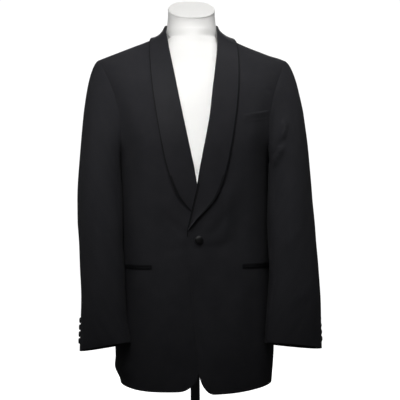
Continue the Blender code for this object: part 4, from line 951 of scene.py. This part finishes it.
# The same satin painted darker, as painted shade: along the lapel edges, on the left lapel's fold where it crosses the
# right one, and in the pocket jets
painted_shade_satin = duchesse_satin("duchesse_satin_painted_shade", "#18181a", "#1e1e20")
for label, side in SIDES:
    grid = collar_grid(side)
    # Faces that take the satin painted darker, as painted shade: the edge, more of it low on the lapel, and the left
    # lapel's fold where it crosses the right one
    turned = np.zeros((len(grid) - 1, grid.shape[1] - 1), dtype=bool)
    turned[:, -EDGE_STRIPS:] = True
    turned[:LOW_ROWS, -LOW_STRIPS:] = True
    if side > 0:
        turned[:CROSS_ROWS, :FOLD_STRIPS] = True
    sew_panel("satin", "collar_" + label, grid, side, satin, smooth=60.0,
                                     second=painted_shade_satin, where=turned)

# ================================================================ pockets
# Each hip pocket is a straight mouth between two narrow rolled jets of satin. The breast pocket is closed by a
# welt of the wool, folded along its upper edge and sewn down at its ends and foot.
JET_WIDTH, JET_THICK = 0.0045, 0.0012
JET_TURNS = (0.34, 0.86)  # front and hind end, as turns round the body
JET_DROP = 0.0002         # the front end is this far below the middle height, the hind end above
JET_ROLL, JET_FLAT = 0.0005, 0.6   # each jet is this much fuller along its middle, less by this share at its ends
WELT_INNER, WELT_OUTER = (0.1050, 0.7580), (0.1640, 0.7690)   # middle of each end: x and height
WELT_DEEP, WELT_THICK = 0.0200, 0.0014
WELT_STAND, WELT_ENDS = 0.0016, 0.35   # the folded edge stands off the sewn foot by this, and by a share at its ends
WELT_SUNK = 0.0011        # the foot is sewn down into the cloth
WELT_ROLL = 0.8           # how far the folded edge rolls back down
WELT_RISE, WELT_OVER = (-0.3, 0.34), (0.36, 0.56)   # where across the welt it rises and rolls over


def band(side, x, z, deep, thick, up, swell):
    """Band of cloth sewn on along the middle line x, z; up runs across it, swell is its own thickness there."""
    up = up[:, None]
    x = x[None, :] + 0 * up
    lift = lift_of_height(x, z[None, :] + deep * up)
    return lie_on(side, x, lift, CLOTH / 2 + SEAM_GAP + thick / 2 + swell + 0 * x)


across_jet = np.linspace(-0.5, 0.5, 7)
along_jet = np.linspace(0, 1, 61)
for label, side in SIDES:
    for part, way in (("upper", 1), ("lower", -1)):
        z = POCKET_HEIGHT - JET_DROP * (1 - 2 * along_jet)
        x = across(JET_TURNS[0] + (JET_TURNS[1] - JET_TURNS[0]) * along_jet, read(BODY, z, 1))
        z = z + way * (JET_WIDTH + SEAM_GAP) / 2
        ends = 1 - JET_FLAT * (2 * along_jet[None, :] - 1) ** 8
        swell = JET_ROLL * np.sqrt(1 - (2 * across_jet[:, None]) ** 2) * ends
        grid = band(side, x, z, JET_WIDTH, JET_THICK, across_jet, swell)
        name = "jet_" + part + "_" + label
        # The jets take the satin painted darker, as painted shade
        sew_panel("satin", name, grid, side, painted_shade_satin, JET_THICK, 60.0)

across_welt = np.concatenate((np.linspace(-0.5, 0.3, 9), np.linspace(0.325, 0.5, 8)))
along_welt = edge_shares(24, 0.06)
welt_x = WELT_INNER[0] + (WELT_OUTER[0] - WELT_INNER[0]) * along_welt
welt_z = WELT_INNER[1] + (WELT_OUTER[1] - WELT_INNER[1]) * along_welt
sewn_ends = 1 - (2 * along_welt[None, :] - 1) ** 6
folded_edge = (fade(across_welt, *WELT_RISE) * (1 - WELT_ROLL * fade(across_welt, *WELT_OVER)))[:, None]
welt_grid = band(1.0, welt_x, welt_z, WELT_DEEP, WELT_THICK, across_welt,
                 WELT_STAND * folded_edge * (WELT_ENDS + (1 - WELT_ENDS) * sewn_ends) - WELT_SUNK)
welt = sew_panel("cloth", "breast_welt", welt_grid, 1.0, barathea, WELT_THICK, 50.0)

# ================================================================ buttons
# One front button, a mould covered with the satin, sits on the lap and holds the fronts together. Four small
# polished resin buttons, sewn through four holes, stand in a row up the back of each cuff.
FRONT_BUTTON = (0.0030, 0.4925)   # x and height
FRONT_BUTTON_WIDE, FRONT_BUTTON_DEEP = 0.0205, 0.0050
MOULD_WIDE, MOULD_DEEP = 0.93, 0.55   # the share of the button that its blank takes before it is domed
DOME = ((0.0011, 0.0009), (0.0016, 0.0009), (0.0022, 0.0007), (0.0024, 0.0003))   # steps inwards and up
UNDER_RIM, UNDER_DOME = 0.0014, 0.0002
GATHERS, GATHER_DEEP, GATHER_TOP = 16, 0.012, 0.0018   # gathers of the cloth below the rim
CUFF_BUTTON_WIDE, CUFF_BUTTON_DEEP = 0.0126, 0.0036
RIM_WIDE, DISH_SLOPE, DISH_DEEP, BACK_RIM = 0.0015, 0.0006, 0.0010, 0.0012   # rim and dish in front, rim behind
CUFF_BUTTON_PITCH, CUFF_BUTTON_FIRST, CUFF_BUTTONS = 0.0145, 0.022, 4
CUFF_SPOT, CUFF_SPOT_SIZE = HIND_SEAM + 1.0, (0.004, 0.1)   # the buttons' column, and the patch they are set on
BUTTON_TURN = 0.3         # each is sewn on a little turned, by up to this angle in radians
BUTTON_CLEAR = 0.0004
EASED, EASED_FINE = (0.0009, 4), (0.0002, 2)   # width and steps of the rounded edges
HOLE_WIDE, HOLE_OUT, HOLES = 0.0017, 0.0020, 4
THREAD_WIDE, THREAD_SUNK = 0.0007, 0.0016


def pick_faces(test):
    """Selects the faces of the mesh in edit mode whose middle and normal pass the test."""
    shape = bmesh.from_edit_mesh(bpy.context.object.data)
    for vert in shape.verts:
        vert.select = False
    for face in shape.faces:
        face.select = bool(test(face.calc_center_median(), face.normal))
    shape.select_flush_mode()
    bmesh.update_edit_mesh(bpy.context.object.data)


def turned_blank(name, sides, radius, tall):
    """Short cylinder that stands on the origin, in edit mode."""
    bpy.ops.mesh.primitive_cylinder_add(vertices=sides, radius=radius, depth=tall, location=(0, 0, tall / 2))
    blank = bpy.context.object
    blank.name = name
    bpy.ops.object.transform_apply(location=True, rotation=True, scale=True)
    bpy.ops.object.mode_set(mode="EDIT")
    bpy.ops.mesh.select_mode(type="FACE")
    return blank


def join(parts):
    """Makes one object of several."""
    work_on(parts[0])
    for part in parts:
        part.select_set(True)
    bpy.ops.object.join()
    return bpy.context.object


def apply_bevel(piece, wide, steps, angle):
    bevel = piece.modifiers.new("eased_edges", "BEVEL")
    bevel.width, bevel.segments, bevel.limit_method, bevel.angle_limit = wide, steps, "ANGLE", radians(angle)
    bpy.ops.object.modifier_apply(modifier=bevel.name)


def sew_on(pattern, name, place, normal, turn=0.0):
    """Own copy of a button, set down at a place with its face along the normal."""
    spot = Matrix.Translation(place) @ Vector(normal).to_track_quat("Z", "Y").to_matrix().to_4x4()
    copy = add_piece(name, pattern.data.copy())
    copy.data.transform(spot @ Matrix.Rotation(turn, 4, "Z"))
    return copy


# Covered button: the cloth is drawn over a domed mould and gathered in under its rim
covered = turned_blank("covered_button_pattern", 48, FRONT_BUTTON_WIDE / 2 * MOULD_WIDE, FRONT_BUTTON_DEEP * MOULD_DEEP)
for inset, rise in DOME:
    pick_faces(lambda middle, normal: normal.z > 0.99 and middle.xy.length < 1e-6)
    bpy.ops.mesh.inset(thickness=inset, depth=0)
    bpy.ops.transform.translate(value=(0, 0, rise))
pick_faces(lambda middle, normal: normal.z < -0.99)
bpy.ops.mesh.inset(thickness=UNDER_RIM, depth=0)
bpy.ops.transform.translate(value=(0, 0, -UNDER_DOME))
bpy.ops.object.mode_set(mode="OBJECT")
apply_bevel(covered, *EASED, 40.0)
for vert in covered.data.vertices:
    pleat = 1 + GATHER_DEEP * sin(GATHERS * atan2(vert.co.y, vert.co.x)) * (1 if vert.co.z < GATHER_TOP else 0)
    vert.co.x, vert.co.y = vert.co.x * pleat, vert.co.y * pleat
bpy.ops.object.shade_smooth_by_angle(angle=radians(50))
# The button's satin is painted darker than the lapels', as painted shade, and is glossier
covered.data.materials.append(duchesse_satin("duchesse_satin_button_painted_shade", "#131314", "#19191b", 0.28, (0.30, 0.42)))
lift = lift_of_height(FRONT_BUTTON[0], FRONT_BUTTON[1])
normal = outward(FRONT_BUTTON[0], lift)
seat = LAP_DEEP + CLOTH / 2 + BUTTON_CLEAR
front_button = sew_on(covered, "covered_front_button", skin(FRONT_BUTTON[0], lift) + normal * seat, normal)
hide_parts("button_front")
bpy.data.objects.remove(covered, do_unlink=True)

# Cuff button: turned resin with a raised rim, a dished middle, four drilled holes and two bars of thread
cuff_button = turned_blank("cuff_button_pattern", 48, CUFF_BUTTON_WIDE / 2, CUFF_BUTTON_DEEP)
pick_faces(lambda middle, normal: normal.z > 0.99)
bpy.ops.mesh.inset(thickness=RIM_WIDE, depth=0)
bpy.ops.mesh.inset(thickness=DISH_SLOPE, depth=0)
bpy.ops.transform.translate(value=(0, 0, -DISH_DEEP))
pick_faces(lambda middle, normal: normal.z < -0.99)
bpy.ops.mesh.inset(thickness=BACK_RIM, depth=0)
bpy.ops.object.mode_set(mode="OBJECT")
apply_bevel(cuff_button, *EASED, 60.0)
apply_bevel(cuff_button, *EASED_FINE, 25.0)
drills = []
for k in range(HOLES):
    angle = pi / 4 + 2 * pi / HOLES * k
    bpy.ops.mesh.primitive_cylinder_add(vertices=16, radius=HOLE_WIDE / 2, depth=4 * CUFF_BUTTON_DEEP,
                                        location=(HOLE_OUT * cos(angle), HOLE_OUT * sin(angle), 0))
    drills.append(bpy.context.object)
drill = join(drills)
work_on(cuff_button)
holes = cuff_button.modifiers.new("drilled_holes", "BOOLEAN")
holes.operation, holes.object, holes.solver = "DIFFERENCE", drill, "EXACT"
bpy.ops.object.modifier_apply(modifier=holes.name)
bpy.data.objects.remove(drill, do_unlink=True)
bpy.ops.object.shade_smooth_by_angle(angle=radians(35))

bars = []
for way in (1, -1):
    bpy.ops.mesh.primitive_torus_add(
        major_radius=HOLE_OUT * sin(pi / 4), minor_radius=THREAD_WIDE / 2, major_segments=24, minor_segments=8,
        location=(0, way * HOLE_OUT * sin(pi / 4), CUFF_BUTTON_DEEP - THREAD_SUNK), rotation=(pi / 2, 0, 0))
    bars.append(bpy.context.object)
thread = join(bars)
bpy.ops.object.transform_apply(location=True, rotation=True, scale=True)
bpy.ops.object.shade_smooth_by_angle(angle=radians(60))

# Polished polyester resin, dyed through with faint darker clouds, and a little duller between them
resin, tree, shader = new_material("polished_polyester_resin", {"IOR": 1.55, "Specular IOR Level": 0.3})
cloud = noise(tree, add_node(tree, "ShaderNodeTexCoord").outputs["Object"], 260.0, 3.0)
dye_and_finish(tree, shader, (cloud, "#141415", "#272626"), (cloud, 0.18, 0.34))
cuff_button.data.materials.append(resin)

# Buttonhole twist: black silk thread of several plies
twist, tree, shader = new_material("black_silk_twist", {"Roughness": 0.6})
ply = noise(tree, add_node(tree, "ShaderNodeTexCoord").outputs["Object"], 2500.0)
dye_and_finish(tree, shader, (ply, "#17171a", "#38383d"), None, ((ply, 0.5, 0.0002),))
thread.data.materials.append(twist)

beside = np.array((-1, 0, 1))     # the button's own spot and one each side of it
for label, side in SIDES:
    long = (SLEEVE[label][-1, 0] - SLEEVE[label][0, 0]) / (1 - HEAD)
    for k in range(CUFF_BUTTONS):
        down = 1 - (CUFF_BUTTON_FIRST + CUFF_BUTTON_PITCH * k) / long + CUFF_SPOT_SIZE[0] * beside
        patch, angle = sleeve_grid(label, side, down, CUFF_SPOT + CUFF_SPOT_SIZE[1] * beside)
        normals = grid_normals(patch, side)
        patch = patch + normals * sleeve_hang(label, patch, angle, down)[..., None]
        place = patch[1, 1] + normals[1, 1] * (CLOTH / 2 + BUTTON_CLEAR)
        name = "cuff_button_" + label + "_" + str(k + 1)
        turn = BUTTON_TURN * sin(5.0 * k + side)
        disc = sew_on(cuff_button, "resin_" + name, place, normals[1, 1], turn)
        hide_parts(name)
        for sewn in (disc, sew_on(thread, "thread_" + name, place, normals[1, 1], turn)):
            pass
for pattern in (cuff_button, thread):
    bpy.data.objects.remove(pattern, do_unlink=True)

# ================================================================ dress form
# A limbless form moulded as one smooth white shell, with a short neck cut at a slope and a separate flat cap let
# into it. It carries the jacket at the shoulders and is closed below by a plain underside.
FORM_COLUMNS, FORM_POWER = 96, 2.25   # its level sections are a little squarer than an ellipse
NECK_ROUND, NECK_ROOT, NECK_BLEND = 0.45, 0.940, 0.020   # and rounder in front at the root of the neck
FORM_LEVELS = ((0.320, 0.332, 4), (0.34, 0.88, 50), (0.888, 1.015, 52))   # from, to, how many
FORM = np.array((         # height, half width (0: where the shoulders meet the jacket), middle y, front, back depth
    (0.320, 0.1480, 0.000, 0.122, 0.106),
    (0.332, 0.1560, 0.000, 0.130, 0.114),
    (0.400, 0.1600, 0.000, 0.132, 0.116),
    (0.500, 0.1500, 0.000, 0.128, 0.104),
    (0.600, 0.1500, 0.000, 0.136, 0.110),
    (0.700, 0.1580, 0.001, 0.146, 0.124),
    (0.780, 0.1620, 0.004, 0.146, 0.126),
    (0.840, 0.1720, 0.008, 0.134, 0.116),
    (0.880, 0.1800, 0.011, 0.117, 0.098),
    (0.897, 0.1835, 0.012, 0.104, 0.085),
    (0.906, 0.1835, 0.012, 0.094, 0.076),
    (0.916, 0.0000, 0.012, 0.086, 0.066),
    (0.926, 0.0000, 0.012, 0.0785, 0.056),
    (0.936, 0.0000, 0.011, 0.0728, 0.045),
    (0.944, 0.0000, 0.009, 0.0684, 0.040),
    (0.953, 0.0612, 0.007, 0.0640, 0.042),
    (0.968, 0.0582, 0.005, 0.0583, 0.046),
    (0.982, 0.0560, 0.004, 0.0548, 0.051),
    (0.998, 0.0543, 0.003, 0.0525, 0.055),
    (1.015, 0.0534, 0.0025, 0.0520, 0.055),
))
TRUNK_ROWS, NECK_ROWS = slice(1, 10), slice(15, None)   # rows of the table that are joined by a smooth curve
REST_CLEAR, NECK_CLEAR = 0.0005, 0.0040   # under the shoulders, and inside the neck of the jacket
FORM_EASE, FACET_CLEAR, RIDGE_HALF = 0.92, 0.005, 0.001   # share of the arch it fills, less this, at least this
NECK_OPEN = (0.044, 0.055)   # half width of the part of the chest that the jacket leaves open
NECK_TILT, NECK_TILT_FROM = 0.485, 0.968   # slope of the cut through the neck, and from what height it starts
CAP_EDGE = (              # height above the cut, overhang
    (0.0002, -0.0010), (0.0002, 0.0000), (0.0006, 0.0003), (0.0016, 0.0004), (0.0030, 0.0003),
    (0.0040, -0.0003), (0.0047, -0.0012), (0.0050, -0.0024), (0.0047, -0.0040), (0.0047, -0.0120))


def resting_half(z):
    """Half width at which the form's shoulder meets the inside of the jacket's shoulder."""
    slope = atan2(RIDGE[2, 1] - RIDGE[5, 1], RIDGE[5, 0] - RIDGE[2, 0])
    x = np.linspace(RIDGE[1, 0], RIDGE[-1, 0], 4001)
    return x[np.argmin(np.abs(ridge(x) - z - (CLOTH / 2 + REST_CLEAR) / cos(slope)))]


def inside_jacket(x, y, z):
    """Keeps points of the form under the shoulders of the jacket and clear of its neck."""
    crest = ridge(x)
    raised = z + np.where(np.abs(x) < COLLAR[1, 3], NECK_CLEAR, CLOTH / 2 + 2 * REST_CLEAR)
    back = y > RIDGE_Y
    room = np.abs(skin(x, lift_of_height(x, np.minimum(raised, crest), back))[..., 1] - RIDGE_Y) * FORM_EASE
    room = np.maximum(room - FACET_CLEAR, RIDGE_HALF) + np.where(back, 0.0, 1 - fade(np.abs(x), *NECK_OPEN))
    held = np.clip(y, RIDGE_Y - room, RIDGE_Y + room)
    return np.where((z < UNDERARM_Z) | (z > crest), y, held)


def mould(name, rings):
    """Closed shell through rings of equal count, counted against the clock, from the bottom up."""
    count, around = rings.shape[:2]
    index = np.arange(count * around).reshape(count, around)
    ahead = np.roll(index, -1, axis=1)
    faces = np.stack((index[:-1], ahead[:-1], ahead[1:], index[1:]), axis=-1).reshape(-1, 4).tolist()
    faces.append(index[0, ::-1].tolist())
    faces.append(index[-1].tolist())
    mesh = bpy.data.meshes.new(name)
    mesh.from_pydata(rings.reshape(-1, 3).tolist(), [], faces)
    piece = add_piece(name, mesh)
    bpy.ops.object.shade_smooth_by_angle(angle=radians(45))
    return piece


def form_rings(levels):
    """Rings of points of the form at these levels, tilted towards the cut of the neck."""
    table = FORM.copy()
    for row in table:
        row[1] = row[1] or resting_half(row[0])
    z = levels[:, None]
    half = np.interp(z, table[:, 0], table[:, 1])
    trunk, neck = table[TRUNK_ROWS], table[NECK_ROWS]
    half = np.where((z > trunk[0, 0]) & (z < trunk[-1, 0]), read(trunk, z, 1), half)
    half = np.where(z > neck[0, 0], read(neck, z, 1), half)
    middle, front, back = (read(table, z, k) for k in (2, 3, 4))
    turn = (2 * pi * np.arange(FORM_COLUMNS) / FORM_COLUMNS)[None, :]
    c, s = np.cos(turn), np.sin(turn)
    power = FORM_POWER - NECK_ROUND * np.exp(-((z - NECK_ROOT) / NECK_BLEND) ** 2) * (s < 0)
    x = half * np.sign(c) * np.abs(c) ** (2 / power)
    y = middle + np.where(s > 0, back, front) * np.sign(s) * np.abs(s) ** (2 / power)
    y = inside_jacket(x, y, z)
    share = np.maximum(z - NECK_TILT_FROM, 0) / (table[-1, 0] - NECK_TILT_FROM)
    return np.stack((x, y, z + NECK_TILT * share * (y - middle)), axis=-1)


rings = form_rings(np.concatenate([np.linspace(*run) for run in FORM_LEVELS]))
form = mould("moulded_form_body", rings)
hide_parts("form_body")
rim = rings[-1]
middle = rim.mean(axis=0)
up = unit(np.array((0.0, -NECK_TILT, 1.0)))
cap = mould("neck_cap", np.stack([rim + unit(rim - middle) * over + up * rise for rise, over in CAP_EDGE]))
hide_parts("form_cap")

# Moulded white plastic: satin smooth, a faint orange peel from the mould, slightly warm, duller where handled.
# A faint glow is painted light, which lightens the shell where the lamps leave it in shade.
shell, tree, shader = new_material("white_moulded_plastic", {
    "IOR": 1.5, "Emission Color": linear("#ffffff"), "Emission Strength": 0.06})
here = add_node(tree, "ShaderNodeTexCoord").outputs["Object"]
smear, peel = noise(tree, here, 9.0, 4.0), noise(tree, here, 420.0)
dye_and_finish(tree, shader, (smear, "#f0efec", "#f6f5f3"), (smear, 0.36, 0.52), ((peel, 0.12, 0.0003),))
form_only = bpy.data.collections.new("form_only")
for piece in (form, cap):
    piece.data.materials.append(shell)
    form_only.objects.link(piece)

# The form's own soft box is flagged off the cloth, as in a studio, and reaches only the white shell
bpy.data.objects["form_soft_box"].light_linking.receiver_collection = form_only

# ================================================================ stand
# A steel tube screwed into a flange under the form, held below in a turned socket on a round plate. All of it is
# powder coated black, with eased edges.
POLE_WIDE = 0.0215
FLANGE_WIDE, FLANGE_THICK = 0.070, 0.012
BASE_WIDE, BASE_THICK, BASE_EDGE = 0.320, 0.014, 0.004
SOCKET_WIDE, SOCKET_TALL, SOCKET_FOOT, SOCKET_EDGE = 0.046, 0.045, 0.012, 0.004
FOOT_THICK, FOOT_SLOPE = 0.004, 0.001
HOLLOW_WIDE, HOLLOW_TALL = 0.003, 0.005   # between the foot of the socket and its tube

# Powder coat: fine pebbled black skin over steel
coat, tree, shader = new_material("black_powder_coat", {"IOR": 1.5})
here = add_node(tree, "ShaderNodeTexCoord").outputs["Object"]
rub, pebble = noise(tree, here, 14.0, 5.0, Roughness=0.65), noise(tree, here, 900.0)
dye_and_finish(tree, shader, (rub, "#232324", "#323233"), (rub, 0.36, 0.56), ((pebble, 0.3, 0.0002),))


def stand_part(name, sides, radius, low, tall, shape=None, ease=0.0012):
    """Turned part of the stand: a blank at its height, shaped in edit mode, its edges eased."""
    part = turned_blank("steel_" + name, sides, radius, tall)
    if shape:
        shape()
    bpy.ops.object.mode_set(mode="OBJECT")
    part.data.transform(Matrix.Translation((0, 0, low)))
    apply_bevel(part, ease, 3, 25.0)
    bpy.ops.object.shade_smooth_by_angle(angle=radians(35))
    part.data.materials.append(coat)
    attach(part, "root")
    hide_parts(name)


def base_steps():
    """Bevels the upper edge of the base."""
    pick_faces(lambda middle, normal: normal.z > 0.99)
    bpy.ops.transform.translate(value=(0, 0, -BASE_EDGE))
    bpy.ops.mesh.inset(thickness=BASE_EDGE, depth=0)
    bpy.ops.transform.translate(value=(0, 0, BASE_EDGE))


def socket_steps():
    """Draws the tube of the socket up out of its foot, with a hollow between, and bevels its upper edge."""
    pick_faces(lambda middle, normal: normal.z > 0.99)
    bpy.ops.mesh.inset(thickness=SOCKET_FOOT - HOLLOW_WIDE, depth=0)
    bpy.ops.transform.translate(value=(0, 0, FOOT_SLOPE))
    bpy.ops.mesh.inset(thickness=HOLLOW_WIDE, depth=0)
    bpy.ops.transform.translate(value=(0, 0, HOLLOW_TALL))
    bpy.ops.mesh.extrude_region_move(TRANSFORM_OT_translate={
        "value": (0, 0, SOCKET_TALL - FOOT_THICK - FOOT_SLOPE - HOLLOW_TALL - SOCKET_EDGE)})
    bpy.ops.mesh.inset(thickness=SOCKET_EDGE, depth=0)
    bpy.ops.transform.translate(value=(0, 0, SOCKET_EDGE))


bottom = FORM[0, 0]
foot = BASE_THICK + SEAM_GAP
stand_part("form_flange", 64, FLANGE_WIDE / 2, bottom - SEAM_GAP - FLANGE_THICK, FLANGE_THICK)
stand_part("stand_pole", 48, POLE_WIDE / 2, foot + SOCKET_TALL + SEAM_GAP,
           bottom - FLANGE_THICK - 2 * SEAM_GAP - foot - SOCKET_TALL - SEAM_GAP, ease=0.0006)
stand_part("stand_socket", 64, SOCKET_WIDE / 2 + SOCKET_FOOT, foot, FOOT_THICK, socket_steps)
stand_part("stand_base", 128, BASE_WIDE / 2, 0.0, BASE_THICK, base_steps)
